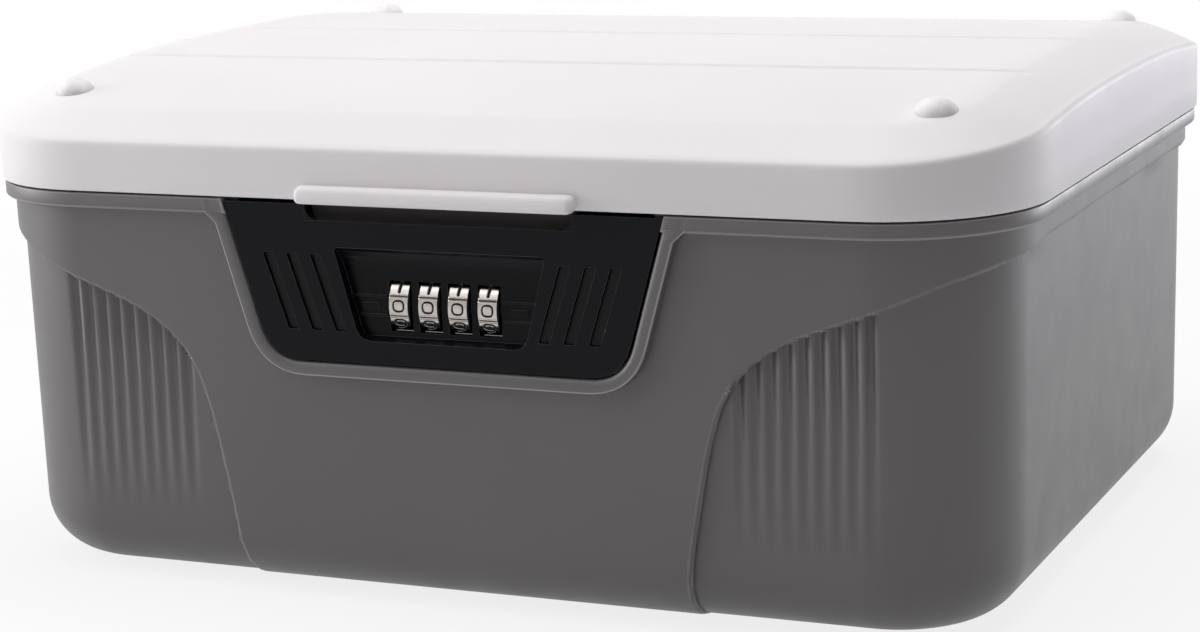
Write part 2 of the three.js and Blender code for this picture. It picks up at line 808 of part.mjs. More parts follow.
// Sleeve: a keyed hub inside the wheel, whose disc sits in the wheel's recess and carries a ten-lobed
// crown. The gate is a slot in the crown's wall, and a peg of the latch passes through it.
function makeSleeve() {
  const star = new THREE.Shape();
  const lobes = dialGrooves * 2;
  for (let index = 0; index < lobes; index += 1) {
    const radius = index % 2 ? starRadius - starDepth : starRadius;
    const angle = index / lobes * Math.PI * 2;
    if (index === 0) {
      star.moveTo(radius, 0);
    } else {
      star.lineTo(radius * Math.cos(angle), radius * Math.sin(angle));
    }
  }
  star.closePath();
  const disc = dialWidth / 2 - starDisc / 2;
  const hub = rod('x', sleeveRadius, sleeveStart, disc, [0, 0, 0], smallSides);
  const crown = sidePlate(star, dialWidth / 2 - starDisc, dialWidth / 2 + starWidth);
  const cup = rod('x', starRadius - starWall, dialWidth / 2, dialPitch, [0, 0, 0], smallSides);
  const neck = rod('x', sleeveNeck, disc, sleeveEnd, [0, 0, 0], smallSides);
  const key = block([sleeveStart, -keyWidth / 2, 0], [disc, keyWidth / 2, sleeveRadius + keyHeight]);
  const bore = rod('x', sleeveBore, -dialPitch, dialPitch, [0, 0, 0], smallSides);
  const gate = block([dialWidth / 2, gateFloor, -gateHalf], [dialPitch, dialPitch, gateHalf]);
  return cut(join(hub, cut(crown, cup), neck, key), bore, gate);
}

// Shaft: it follows the slide, so its free end reaches past the left web by the slide's travel
function makeShaft() {
  const left = leftWeb - webWidth - slideTravel - merge;
  return join(
    rod('x', shaftRadius, left, shaftEnd, [0, 0, 0], smallSides),
    rod('x', collarRadius, shaftEnd - collarWidth, shaftEnd, [0, 0, 0], smallSides),
  );
}

// Comb: one leaf finger under each star collar, on a common strip
function makeComb() {
  const floor = panelBottom - housingGrow + housingWall + seatGap;
  const sheet = combSheet;
  const stripFront = dialAxisY + dialRadius + merge;
  const stripBack = housingInside - fit;
  const rise = dialHeight - starRadius - fit - sheet;
  const finger = outline([
    [stripBack, floor, 0], [stripFront, floor, 0],
    [dialAxisY + combRest, rise, 0], [dialAxisY - combRest, rise, 0],
    [dialAxisY - combRest, rise + sheet, 0], [dialAxisY + combRest + sheet / 2, rise + sheet, 0],
    [stripFront + sheet / 2, floor + sheet, 0], [stripBack, floor + sheet, 0],
  ]);
  const fingers = dialPlaces.map((x) =>
    sidePlate(finger, x + combPlace - combWidth / 2, x + combPlace + combWidth / 2));
  const left = leftWeb + fit;
  const right = rightWeb - fit;
  return join(block([left, stripFront + sheet, floor], [right, stripBack, floor + sheet]), ...fingers);
}

// Latch: barrel on its pin, nose plate above, spring arms behind, and below a finger beside each crown,
// whose peg stands behind the crown's wall and enters the crown through the gate when the latch rocks.
// Drawn about the pin, so y and z are counted from its centre.
function makeLatch() {
  const left = leftWeb + fit;
  const right = rightWeb - fit;
  const tipFront = -(pivotBehindDial - starRadius - fingerGap);
  const tipMiddle = -pivotAboveDial - fingerDrop;
  const root = barrelRadius - fingerRoot;
  const finger = outline([
    [-fingerRoot, -root, 0], [tipFront, tipMiddle + fingerHeight / 2, 0],
    [tipFront, tipMiddle - fingerHeight / 2, 0],
    [tipFront + fingerThickness, tipMiddle - fingerHeight / 2, 0],
    [tipFront + fingerThickness, tipMiddle + fingerHeight / 2, 0], [fingerRoot, -root, 0],
  ]);
  const pegLeft = dialWidth / 2 + seatGap;
  const fingers = dialPlaces.map((x) => join(
    sidePlate(finger, x + fingerPlace, x + fingerPlace + fingerWidth),
    block([x + pegLeft, tipFront, tipMiddle - fingerHeight / 2],
      [x + fingerPlace + fingerWidth / 2, tipFront + fingerThickness, tipMiddle + fingerHeight / 2]),
  ));
  const front = -latchPlate / 2;
  const tip = noseHeight * 0.4;
  const nose = outline([
    [latchPlate / 2, 0, 0], [latchPlate / 2, noseTop, 0], [-noseReach + tip, noseTop, 0],
    [-noseReach, noseTop - tip, 0], [-noseReach, noseTop - 1.5 * tip, 0],
    [front, noseTop - noseHeight, 0], [front, 0, 0],
  ]);
  const plate = block([left, front, 0], [right, latchPlate / 2, barrelRadius + springWire * 4]);
  const arms = [-1, 1].map((side) => block(
    [side * latchSpringX - latchArmWidth / 2, 0, -latchArmHalf],
    [side * latchSpringX + latchArmWidth / 2, latchArm, latchArmHalf],
  ));
  const barrel = rod('x', barrelRadius, left, right, [0, 0, 0], smallSides);
  const bore = rod('x', pinRadius + seatGap, left - merge, right + merge, [0, 0, 0], smallSides);
  return cut(join(barrel, plate, sidePlate(nose, -noseHalf, noseHalf), ...fingers, ...arms), bore);
}

// Code-change slide: a plate behind the housing wall, an arm that holds the shaft's end, a knob
function makeSlide() {
  const armLeft = shaftEnd + fit;
  const back = housingInside - fit;
  const low = dialHeight - slideHeight / 2;
  const high = dialHeight + slideHeight / 2;
  const knobLeft = slideKnobLeft();
  const knobRight = knobLeft + slideKnobWidth;
  const knobRise = slideKnobHeight / 2;
  return join(
    block([armLeft, dialAxisY - collarRadius, low], [armLeft + slidePlate, back, high]),
    block([armLeft, back - slidePlate, low], [knobRight + slideMargin, back, high]),
    block([knobLeft, back - merge, dialHeight - knobRise],
      [knobRight, housingBack + slideKnobReach, dialHeight + knobRise]),
  );
}

// Pan-head screw along +Y: the shank runs forward from the head's underside at y = 0
function makeScrew(length) {
  const profile = [
    [0, -length], [screwShank / 2, -length], [screwShank, screwShank - length], [screwShank, 0],
    [screwHead, 0], [screwHead, screwHeadHeight / 2], [screwHead * 0.6, screwHeadHeight],
    [0, screwHeadHeight],
  ].map(([x, y]) => new THREE.Vector2(x, y));
  const body = solid(new THREE.LatheGeometry(profile, 8));
  const wide = screwHead / 2;
  const narrow = driverSlot / 2;
  const floor = screwHeadHeight - driverDepth;
  const recess = join(
    block([-wide, floor, -narrow], [wide, screwHeadHeight + merge, narrow]),
    block([-narrow, floor, -wide], [narrow, screwHeadHeight + merge, wide]),
  );
  return geometryOf(cut(body, recess));
}

// Lid
function crownAt(y) {
  return crownPeak - crownFall * (Math.abs(y - archCentre) / halfDepth) ** crownPower;
}

function ridgeAt(y) {
  return ridgePeak - ridgeFall * (Math.abs(y - archCentre) / halfDepth) ** ridgePower;
}

// One shell of the lid: a side wall up to the rounded ridge and a bevel that eases towards the crown.
// The last rings rise past the crown, which the crown's own curve then trims.
function lidShell(bottom, drop, side, cornerSteps, sideSteps) {
  const rings = [
    { inset: side, height: bottom },
    { inset: side, height: (y) => ridgeAt(y) - drop - ridgeRound },
    { inset: side + ridgeInset / 4, height: (y) => ridgeAt(y) - drop - ridgeRound / 3 },
  ];
  [0, 0.2, 0.45, 0.7, 1.15].forEach((share) => {
    const inset = Math.max(ridgeInset + bevelWidth * share, side + ridgeInset);
    const rise = share * (1 + bevelEase * (1 - share));
    if (inset > rings[rings.length - 1].inset) {
      rings.push({ inset, height: (y) => ridgeAt(y) + (crownAt(y) - ridgeAt(y)) * rise - drop });
    }
  });
  rings.push({ inset: ridgeInset + bevelWidth * 1.5, height: crownPeak + ridgeRound });
  return loft(rings, cornerSteps, sideSteps).intersect(crownPlate(drop, bottom - merge));
}

function crownPlate(drop, foot) {
  const profile = new THREE.Shape();
  profile.moveTo(-halfDepth, foot);
  profile.lineTo(halfDepth, foot);
  for (let step = 0; step <= crownSteps; step += 1) {
    const y = halfDepth - boxDepth * step / crownSteps;
    profile.lineTo(y, crownAt(y) - drop);
  }
  profile.closePath();
  return sidePlate(profile, -boxWidth, boxWidth);
}

function padPlaces() {
  return [[-padX, -padY], [padX, -padY], [padX, padY], [-padX, padY]];
}

function padFloor(y) {
  return crownAt(y) - padSeat;
}

function makeLid() {
  const outside = lidShell(lidBottom, 0, 0, 8, 8);
  const inside = lidShell(lidBottom - merge, lidWall, lidWall, 6, 5);
  const core = lidShell(lidBottom, lidWall / 2, lidWall / 2, 6, 5);
  const grooves = Array.from({ length: grooveCount }, (_, index) => {
    const y = grooveCentre + (index - (grooveCount - 1) / 2) * groovePitch;
    const foot = crownAt(y) - grooveDepth;
    const half = grooveWidth / 2;
    const profile = outline([
      [y - half * 0.55, foot, 0], [y + half * 0.55, foot, 0],
      [y + half * 2, foot + grooveDepth * 3, 0], [y - half * 2, foot + grooveDepth * 3, 0],
    ]);
    return sidePlate(profile, -boxWidth, boxWidth);
  });
  const ribs = [-1, 1].flatMap((side) => [
    block([side * lidRibX - lidRibWidth / 2, -halfDepth, crownPeak - lidWall - lidRibDrop],
      [side * lidRibX + lidRibWidth / 2, halfDepth, crownPeak]),
    block([-boxWidth / 2, side * lidRibY - lidRibWidth / 2, crownPeak - lidWall - lidRibDrop],
      [boxWidth / 2, side * lidRibY + lidRibWidth / 2, crownPeak]),
  ]);
  const padBosses = padPlaces().map(([x, y]) =>
    rod('z', padRadius + padBossWall, padFloor(y) - padBossWall / 2, crownPeak, [x, y, 0], smallSides));
  const strikeFoot = strikeFootTop();
  const strikeBosses = [-1, 1].map((side) =>
    rod('z', strikeBossRadius, strikeFoot + seatGap, crownPeak,
      [side * strikeScrewX, strikeMiddle(), 0], smallSides));
  const pilotTop = strikeFoot + screwPilot;
  const strikePilots = [-1, 1].map((side) =>
    rod('z', screwShank + seatGap, strikeFoot, pilotTop, [side * strikeScrewX, strikeMiddle(), 0], 8));
  const inner = join(...ribs, ...padBosses, ...strikeBosses).intersect(core);
  const tabFoot = lidBottom - tabDrop;
  const bar = outline([
    [-tabHalf, tabFoot, tabCorner], [tabHalf, tabFoot, tabCorner],
    [tabHalf, tabFoot + tabHeight, tabCorner], [-tabHalf, tabFoot + tabHeight, tabCorner],
  ]);
  const tab = frontPlate(bar, lidWall / 2 - halfDepth, -halfDepth - tabReach, 3);
  const knuckles = [-1, 1].map((side) =>
    knuckle(side * hingeX - knuckleInner / 2, side * hingeX + knuckleInner / 2, 1));
  const pinHole = rod('x', hingePinRadius + seatGap, -boxWidth, boxWidth, [0, hingeY, hingeZ], smallSides);
  const padSeats = padPlaces().map(([x, y]) =>
    rod('z', padRadius + seatGap, padFloor(y), crownPeak + beyond, [x, y, 0], roundSides - 4));
  const shell = join(cut(outside, inside), inner, tab, ...knuckles);
  return cut(shell, ...grooves, pinHole, ...padSeats, ...strikePilots);
}

// Stacking pad: a dome on a short plug
function makePad() {
  const profile = [[0, 0], [padRadius, 0], [padRadius, padSeat]];
  const steps = 4;
  for (let step = 1; step < steps; step += 1) {
    const angle = step / steps * Math.PI / 2;
    profile.push([padRadius * Math.cos(angle), padSeat + padHeight * Math.sin(angle)]);
  }
  profile.push([0, padSeat + padHeight]);
  const points = profile.map(([x, y]) => new THREE.Vector2(x, y));
  return new THREE.LatheGeometry(points, roundSides - 4).rotateX(Math.PI / 2);
}

function makeFoot() {
  const profile = [
    [0, 0], [footRadius - edgeBreak, 0], [footRadius, edgeBreak], [footRadius, footHeight], [0, footHeight],
  ].map(([x, y]) => new THREE.Vector2(x, y));
  return new THREE.LatheGeometry(profile, roundSides - 4).rotateX(Math.PI / 2);
}

// Strike: a foot under the lid's bosses and a windowed tongue that hangs into the lock
function strikeFootTop() {
  return seamHeight + strikeFootHeight + strikeSheet;
}

function strikeMiddle() {
  return dialAxisY + strikeBehindDial + strikeFootDepth / 2;
}

function makeStrike() {
  const front = dialAxisY + strikeBehindDial - strikeSheet;
  const top = strikeFootTop();
  const noseBase = latchZ + noseTop - noseHeight;
  const foot = noseBase - 2 * seatGap - strikeBar;
  const sheet = block([-strikeFootHalf, front, top - strikeSheet],
    [strikeFootHalf, front + strikeFootDepth, top]);
  const tongue = frontPlate(outline([
    [-strikeHalf, foot, strikeBar / 2], [strikeHalf, foot, strikeBar / 2],
    [strikeHalf, top, 0], [-strikeHalf, top, 0],
  ]), front + strikeSheet, front, 3);
  const opening = block(
    [-strikeWindowHalf, front - merge, foot + strikeBar],
    [strikeWindowHalf, front + strikeSheet + merge, latchZ + noseTop + 2 * seatGap],
  );
  const sheetFoot = top - strikeSheet - merge;
  const holes = [-1, 1].map((side) =>
    rod('z', screwShank + fit, sheetFoot, top + merge, [side * strikeScrewX, strikeMiddle(), 0], 8));
  return cut(join(sheet, tongue), opening, ...holes);
}

// Assembly
function add(parent, name, geometry, material, place = [0, 0, 0]) {
  const mesh = new THREE.Mesh(geometry, material.clone());
  mesh.name = name;
  mesh.position.set(...place);
  parent.add(mesh);
  return mesh;
}

function addBox(parent) {
  add(parent, 'base_tub', geometryOf(makeTub()), greyPlastic);
  footPlaces().forEach(([x, y], index) => {
    add(parent, `foot_${index + 1}`, makeFoot(), darkRubber, [x, y, -footStand]);
  });
  const pinLength = knuckleInner + 2 * (knuckleGap + knuckleOuter);
  [['hinge_pin_left', -1], ['hinge_pin_right', 1]].forEach(([name, side]) => {
    const pin = new THREE.CylinderGeometry(hingePinRadius, hingePinRadius, pinLength, smallSides);
    add(parent, name, pin.rotateZ(Math.PI / 2), plainSteel, [side * hingeX, hingeY, hingeZ]);
  });
}

function addLock(parent) {
  add(parent, 'lock_bezel', geometryOf(makeBezel()), blackPlastic);
  add(parent, 'lock_housing', geometryOf(makeHousing()), blackPlastic);
  add(parent, 'detent_comb', geometryOf(makeComb()), plainSteel);
  add(parent, 'code_change_slide', geometryOf(makeSlide()), blackPlastic);
  const screw = makeScrew(housingWall + screwPilot - 2);
  bossPlaces().forEach(([x, z], index) => {
    add(parent, `housing_screw_${index + 1}`, screw, plainSteel, [x, housingBack + seatGap, z]);
  });

  const dials = new THREE.Group();
  dials.position.set(0, dialAxisY, dialHeight);
  parent.add(dials);
  add(dials, 'dial_shaft', geometryOf(makeShaft()), plainSteel);
  const wheel = geometryOf(makeWheel());
  const sleeve = geometryOf(makeSleeve());
  dialPlaces.forEach((x, index) => {
    add(dials, `dial_wheel_${index + 1}`, wheel, brightNickel, [x, 0, 0]);
    add(dials, `code_sleeve_${index + 1}`, sleeve, zincAlloy, [x, 0, 0]);
  });
  const shaftSpring = shaftTail - collarWidth - seatGap;
  const shaftCoil = coilSpring(shaftRadius + springWire, shaftSpring, shaftSpringTurns, 'x');
  add(dials, 'shaft_spring', shaftCoil, plainSteel,
    [rightWeb + webWidth + seatGap + springWire / 2, 0, 0]);

  const latch = new THREE.Group();
  latch.position.set(0, latchY, latchZ);
  parent.add(latch);
  add(latch, 'latch', geometryOf(makeLatch()), zincAlloy);
  const pinLength = rightWeb - leftWeb + 2 * webWidth;
  const pin = new THREE.CylinderGeometry(pinRadius, pinRadius, pinLength, smallSides);
  add(latch, 'latch_pin', pin.rotateZ(Math.PI / 2), plainSteel, [(leftWeb + rightWeb) / 2, 0, 0]);
  const springLength = pivotAboveDial - latchArmHalf - 2 * seatGap;
  [['latch_spring_left', -1], ['latch_spring_right', 1]].forEach(([name, side]) => {
    const place = [side * latchSpringX, latchSpringY, -pivotAboveDial + seatGap + springWire / 2];
    add(latch, name, coilSpring(springRadius, springLength, latchSpringTurns, 'z'), plainSteel, place);
  });
}

// The lid hangs on the hinge line, so its group sits there and its pieces are drawn about it
function addLid(parent) {
  const lid = new THREE.Group();
  lid.position.set(0, hingeY, hingeZ);
  parent.add(lid);
  const aboutHinge = (geometry) => geometry.translate(0, -hingeY, -hingeZ);
  add(lid, 'lid_shell', aboutHinge(geometryOf(makeLid())), whitePlastic);
  add(lid, 'strike_plate', aboutHinge(geometryOf(makeStrike())), plainSteel);
  const screw = makeScrew(strikeScrewLength).rotateX(-Math.PI / 2);
  const headHeight = strikeFootTop() - strikeSheet - seatGap - hingeZ;
  [-1, 1].forEach((side, index) => {
    const place = [side * strikeScrewX, strikeMiddle() - hingeY, headHeight];
    add(lid, `strike_screw_${index + 1}`, screw, plainSteel, place);
  });
  padPlaces().forEach(([x, y], index) => {
    const seat = padFloor(y) + seatGap;
    add(lid, `stack_pad_${index + 1}`, makePad(), clearRubber, [x, y - hingeY, seat - hingeZ]);
  });
}

const group = new THREE.Group();
group.name = 'medication_lock_box';
const frontReach = halfDepth + tabReach;
const rearReach = hingeY + knuckleRadius;
group.position.set(0, (frontReach - rearReach) / 2, footStand);
addBox(group);
addLock(group);
addLid(group);

export default group;
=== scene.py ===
"""The medication lock box, dressed: a grey tub, a white lid and a four-dial code lock.

Shapes are worked out in millimetres, with x and y counted from the middle of the shared outline and
heights from the tub's underside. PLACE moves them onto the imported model.
"""
import logging
import math
from abc import ABC, abstractmethod
from dataclasses import dataclass, field
from enum import Enum

import bmesh
import bpy
import numpy as np
from bpy.types import Material, NodeSocket, Object
from mathutils import Matrix, Vector


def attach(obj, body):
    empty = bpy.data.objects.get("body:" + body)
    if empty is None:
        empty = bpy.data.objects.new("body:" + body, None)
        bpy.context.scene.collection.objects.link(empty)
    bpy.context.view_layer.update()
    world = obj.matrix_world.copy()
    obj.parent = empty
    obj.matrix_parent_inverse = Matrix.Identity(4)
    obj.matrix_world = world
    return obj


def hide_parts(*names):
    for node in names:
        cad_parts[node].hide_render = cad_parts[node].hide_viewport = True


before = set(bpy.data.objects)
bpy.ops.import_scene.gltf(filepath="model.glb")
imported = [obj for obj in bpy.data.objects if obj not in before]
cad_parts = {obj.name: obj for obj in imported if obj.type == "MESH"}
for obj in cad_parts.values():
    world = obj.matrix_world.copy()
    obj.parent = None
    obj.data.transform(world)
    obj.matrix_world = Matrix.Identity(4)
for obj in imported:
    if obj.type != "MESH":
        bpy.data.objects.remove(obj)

Pair = tuple[float, float]
Triple = tuple[float, float, float]

LOG = logging.getLogger("lock_box")
MM = 0.001
TURN = 2 * math.pi
QUARTER = math.pi / 2
PLACE = np.array([0.0, -1.775, 1.4])
CORNERS = ((-1, -1), (1, -1), (1, 1), (-1, 1))
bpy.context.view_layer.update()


class Body(Enum):
    """The bodies that several new pieces ride on."""

    BOX = "box"
    LID = "lid"


class Slot(Enum):
    """The record's material slots that new pieces stand for."""

    GREY = "grey_plastic"
    WHITE = "white_plastic"
    BLACK = "black_plastic"
    CLEAR = "clear_rubber"
    DARK = "dark_rubber"
    NICKEL = "bright_nickel"


class Axis(Enum):
    """The axis that an outline is pushed along."""

    X = 0
    Y = 1


# Meshes


def quads(rows: int, columns: int, wrap: bool = True) -> np.ndarray:
    """Numbers the four corners of each face of a grid of points that was flattened row by row.

    Args:
        rows: how many rows of points the grid has.
        columns: how many points stand in a row.
        wrap: whether the last point of a row joins the first.
    """
    spans = columns if wrap else columns - 1
    row, column = np.meshgrid(np.arange(rows - 1), np.arange(spans), indexing="ij")
    right = (column + 1) % columns
    near, far = row * columns, (row + 1) * columns
    corners = [near + column, near + right, far + right, far + column]
    return np.stack([corner.ravel() for corner in corners], axis=1)


def fan(loop: np.ndarray, pole: int) -> np.ndarray:
    """Joins a closed loop of point numbers to one pole point, a triangle for each edge."""
    return np.stack([loop, np.roll(loop, -1), np.full(len(loop), pole)], axis=1)


def end_caps(rows: int, columns: int) -> np.ndarray:
    """Numbers the two faces that close a grid at its first and its last row."""
    first = np.arange(columns)
    return np.stack([first, first[::-1] + (rows - 1) * columns])


def link_object(name: str, data: bpy.types.ID) -> Object:
    """Makes an object of its data, links it to the scene and returns it."""
    thing = bpy.data.objects.new(name, data)
    bpy.context.scene.collection.objects.link(thing)
    return thing


def make_object(name: str, points: np.ndarray, faces: list[np.ndarray], crease: float) -> Object:
    """Makes a mesh object at the origin, with its place in its points.

    Args:
        name: the piece's name.
        points: one row of x, y and z for each point, in millimetres.
        faces: arrays of point numbers, one array for each number of corners.
        crease: edges that bend by more than this many degrees stay sharp.
    """
    mesh = bpy.data.meshes.new(name)
    corners = [list(face) for group in faces for face in group.tolist()]
    mesh.from_pydata(((points + PLACE) * MM).tolist(), [], corners)
    weld(mesh)
    shade(mesh, crease)
    return link_object(name, mesh)


def weld(mesh: bpy.types.Mesh) -> None:
    """Merges the points that coincide and turns every face outwards."""
    work = bmesh.new()
    work.from_mesh(mesh)
    bmesh.ops.remove_doubles(work, verts=work.verts, dist=2e-6)
    bmesh.ops.dissolve_degenerate(work, edges=work.edges, dist=1e-7)
    bmesh.ops.recalc_face_normals(work, faces=work.faces)
    work.to_mesh(mesh)
    work.free()


def shade(mesh: bpy.types.Mesh, crease: float) -> None:
    """Shades a mesh smooth, but for edges that bend by more than a crease in degrees."""
    mesh.shade_smooth()
    mesh.set_sharp_from_angle(angle=math.radians(crease))


def settle(piece: Object) -> None:
    """Replaces a piece's mesh by what its modifiers make of it, and drops the modifiers."""
    bpy.context.view_layer.update()
    evaluated = piece.evaluated_get(bpy.context.evaluated_depsgraph_get())
    mesh = bpy.data.meshes.new_from_object(evaluated)
    piece.modifiers.clear()
    piece.data = mesh
    shade(mesh, 35.0)


def bevel(piece: Object, width: float, angle: float) -> bpy.types.BevelModifier:
    """Adds a modifier that rounds a piece's edges.

    Args:
        piece: the piece.
        width: how far the rounding reaches, in millimetres.
        angle: edges that bend by more than this many degrees are rounded.
    """
    edge = piece.modifiers.new("edge", "BEVEL")
    edge.width = width * MM
    edge.segments = 2
    edge.limit_method = "ANGLE"
    edge.angle_limit = math.radians(angle)
    return edge


def read(items: bpy.types.bpy_prop_collection, name: str, width: int, kind: type) -> np.ndarray:
    """Reads one property of all of a mesh's items, a row of the given width for each."""
    values = np.empty(len(items) * width, kind)
    items.foreach_get(name, values)
    return values.reshape(-1, width)


def store(piece: Object, name: str, values: np.ndarray) -> None:
    """Stores one value for each point of a piece in a new attribute."""
    attribute = piece.data.attributes.new(name, "FLOAT", "POINT")
    attribute.data.foreach_set("value", values.astype(np.float32))


def note_edge_highlight(piece: Object, low: float = 150.0, passes: int = 0) -> None:
    """Stores how sharply the skin is rounded at each point, in the attribute edge, which masks a painted
    highlight along rounded edges.

    The curvature along an edge of the mesh is -2 n.d / d.d, with n the point's normal and d the way to its
    neighbour; the attribute is the mean over the neighbours, taken from low to 900 per metre onto 0 to 1.

    Args:
        piece: the piece, whose mesh is final.
        low: the curvature that counts as flat, per metre.
        passes: how often the curvature is averaged with its neighbours'.
    """
    mesh = piece.data
    count = len(mesh.vertices)
    places = read(mesh.vertices, "co", 3, np.float32)
    normals = read(mesh.vertex_normals, "vector", 3, np.float32)
    ends = read(mesh.edges, "vertices", 2, np.int32)
    start = np.concatenate([ends[:, 0], ends[:, 1]])
    stop = np.concatenate([ends[:, 1], ends[:, 0]])
    way = places[stop] - places[start]
    bend = -2 * (normals[start] * way).sum(1) / np.maximum((way ** 2).sum(1), 1e-12)
    degree = np.maximum(np.bincount(start, minlength=count), 1)
    mean = np.bincount(start, np.clip(bend, -4000, 4000), count) / degree
    for _ in range(passes):
        mean = 0.5 * mean + 0.5 * np.bincount(start, mean[stop], count) / degree
    # edge: where the finish paints rounded edges paler, a painted highlight
    store(piece, "edge", smooth_step(mean, low, 900.0))


def carve(piece: Object, cutters: list[Object]) -> None:
    """Cuts closed cutters out of a piece and removes the cutters."""
    for cutter in cutters:
        cut = piece.modifiers.new("cut", "BOOLEAN")
        cut.operation = "DIFFERENCE"
        cut.solver = "EXACT"
        cut.object = cutter
    settle(piece)
    for cutter in cutters:
        bpy.data.objects.remove(cutter)


def tube(name: str, grid: np.ndarray, crease: float) -> Object:
    """Closes a grid of points, a ring in each row, into a solid with a cap at both ends."""
    rows, count = grid.shape[:2]
    return make_object(name, grid.reshape(-1, 3), [quads(rows, count), end_caps(rows, count)], crease)


def circle(turn: np.ndarray) -> np.ndarray:
    """Gives cos t and sin t in a row for each angle."""
    return np.stack([np.cos(turn), np.sin(turn)], axis=1)


def prism(name: str, outline: np.ndarray, start: float, end: float, along: Axis) -> Object:
    """Pushes a flat outline along one axis: two copies of it, joined by a wall and closed by two caps.

    Args:
        name: the piece's name.
        outline: points in the plane square to the axis, as the two other coordinates in x, y, z order.
        start: where the prism begins on the axis.
        end: where it ends.
        along: the axis.
    """
    count = len(outline)
    points = np.concatenate([np.insert(outline, along.value, place, axis=1) for place in (start, end)])
    caps = np.stack([np.arange(count), np.arange(count) + count])
    return make_object(name, points, [quads(2, count), caps], 30.0)


def turned(name: str, profile: np.ndarray, centre: Triple, sides: int = 64) -> Object:
    """Turns a profile about an upright axis: a point at radius r and height h goes to r cos t, r sin t, h.

    Args:
        name: the piece's name.
        profile: radius and height pairs that start and end on the axis.
        centre: where height 0 of the axis stands.
        sides: how many steps one turn has.
    """
    turn = np.linspace(0, TURN, sides, endpoint=False)
    radius, height = profile[1:-1, :1], profile[1:-1, 1:]
    rows = len(radius)
    level = np.broadcast_to(height, (rows, sides))
    ring = np.stack([radius * np.cos(turn), radius * np.sin(turn), level], axis=2)
    poles = np.array([[0, 0, profile[0, 1]], [0, 0, profile[-1, 1]]])
    points = np.concatenate([ring.reshape(-1, 3), poles]) + np.array(centre)
    last = rows * sides
    ends = [fan(np.arange(sides)[::-1], last), fan(np.arange(sides) + last - sides, last + 1)]
    return make_object(name, points, [quads(rows, sides), *ends], 40.0)


def round_corner(before: np.ndarray, corner: np.ndarray, after: np.ndarray, reach: float) -> np.ndarray:
    """Rounds a corner with the curve (1-t)^2 a + 2t(1-t) c + t^2 b between points at a reach from it."""
    start = corner + (before - corner) * reach / np.linalg.norm(before - corner)
    end = corner + (after - corner) * reach / np.linalg.norm(after - corner)
    share = np.linspace(0, 1, 14)[:, None]
    return (1 - share) ** 2 * start + 2 * share * (1 - share) * corner + share ** 2 * end


def smooth_step(value: np.ndarray, low: float, high: float) -> np.ndarray:
    """Climbs from 0 at low to 1 at high along 3t^2 - 2t^3."""
    share = np.clip((value - low) / (high - low), 0, 1)
    return share * share * (3 - 2 * share)


def finish_piece(piece: Object, material: Material, body: Body | str, slot: Slot, *nodes: str) -> None:
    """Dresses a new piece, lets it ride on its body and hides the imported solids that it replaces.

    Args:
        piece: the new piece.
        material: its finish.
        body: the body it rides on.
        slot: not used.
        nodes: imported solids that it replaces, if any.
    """
    name = body.value if isinstance(body, Body) else body
    piece.data.materials.clear()
    piece.data.materials.append(material)
    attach(piece, name)
    if nodes:
        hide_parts(*nodes)
    LOG.info("%s: %d faces on %s", piece.name, len(piece.data.polygons), name)


# Finishes


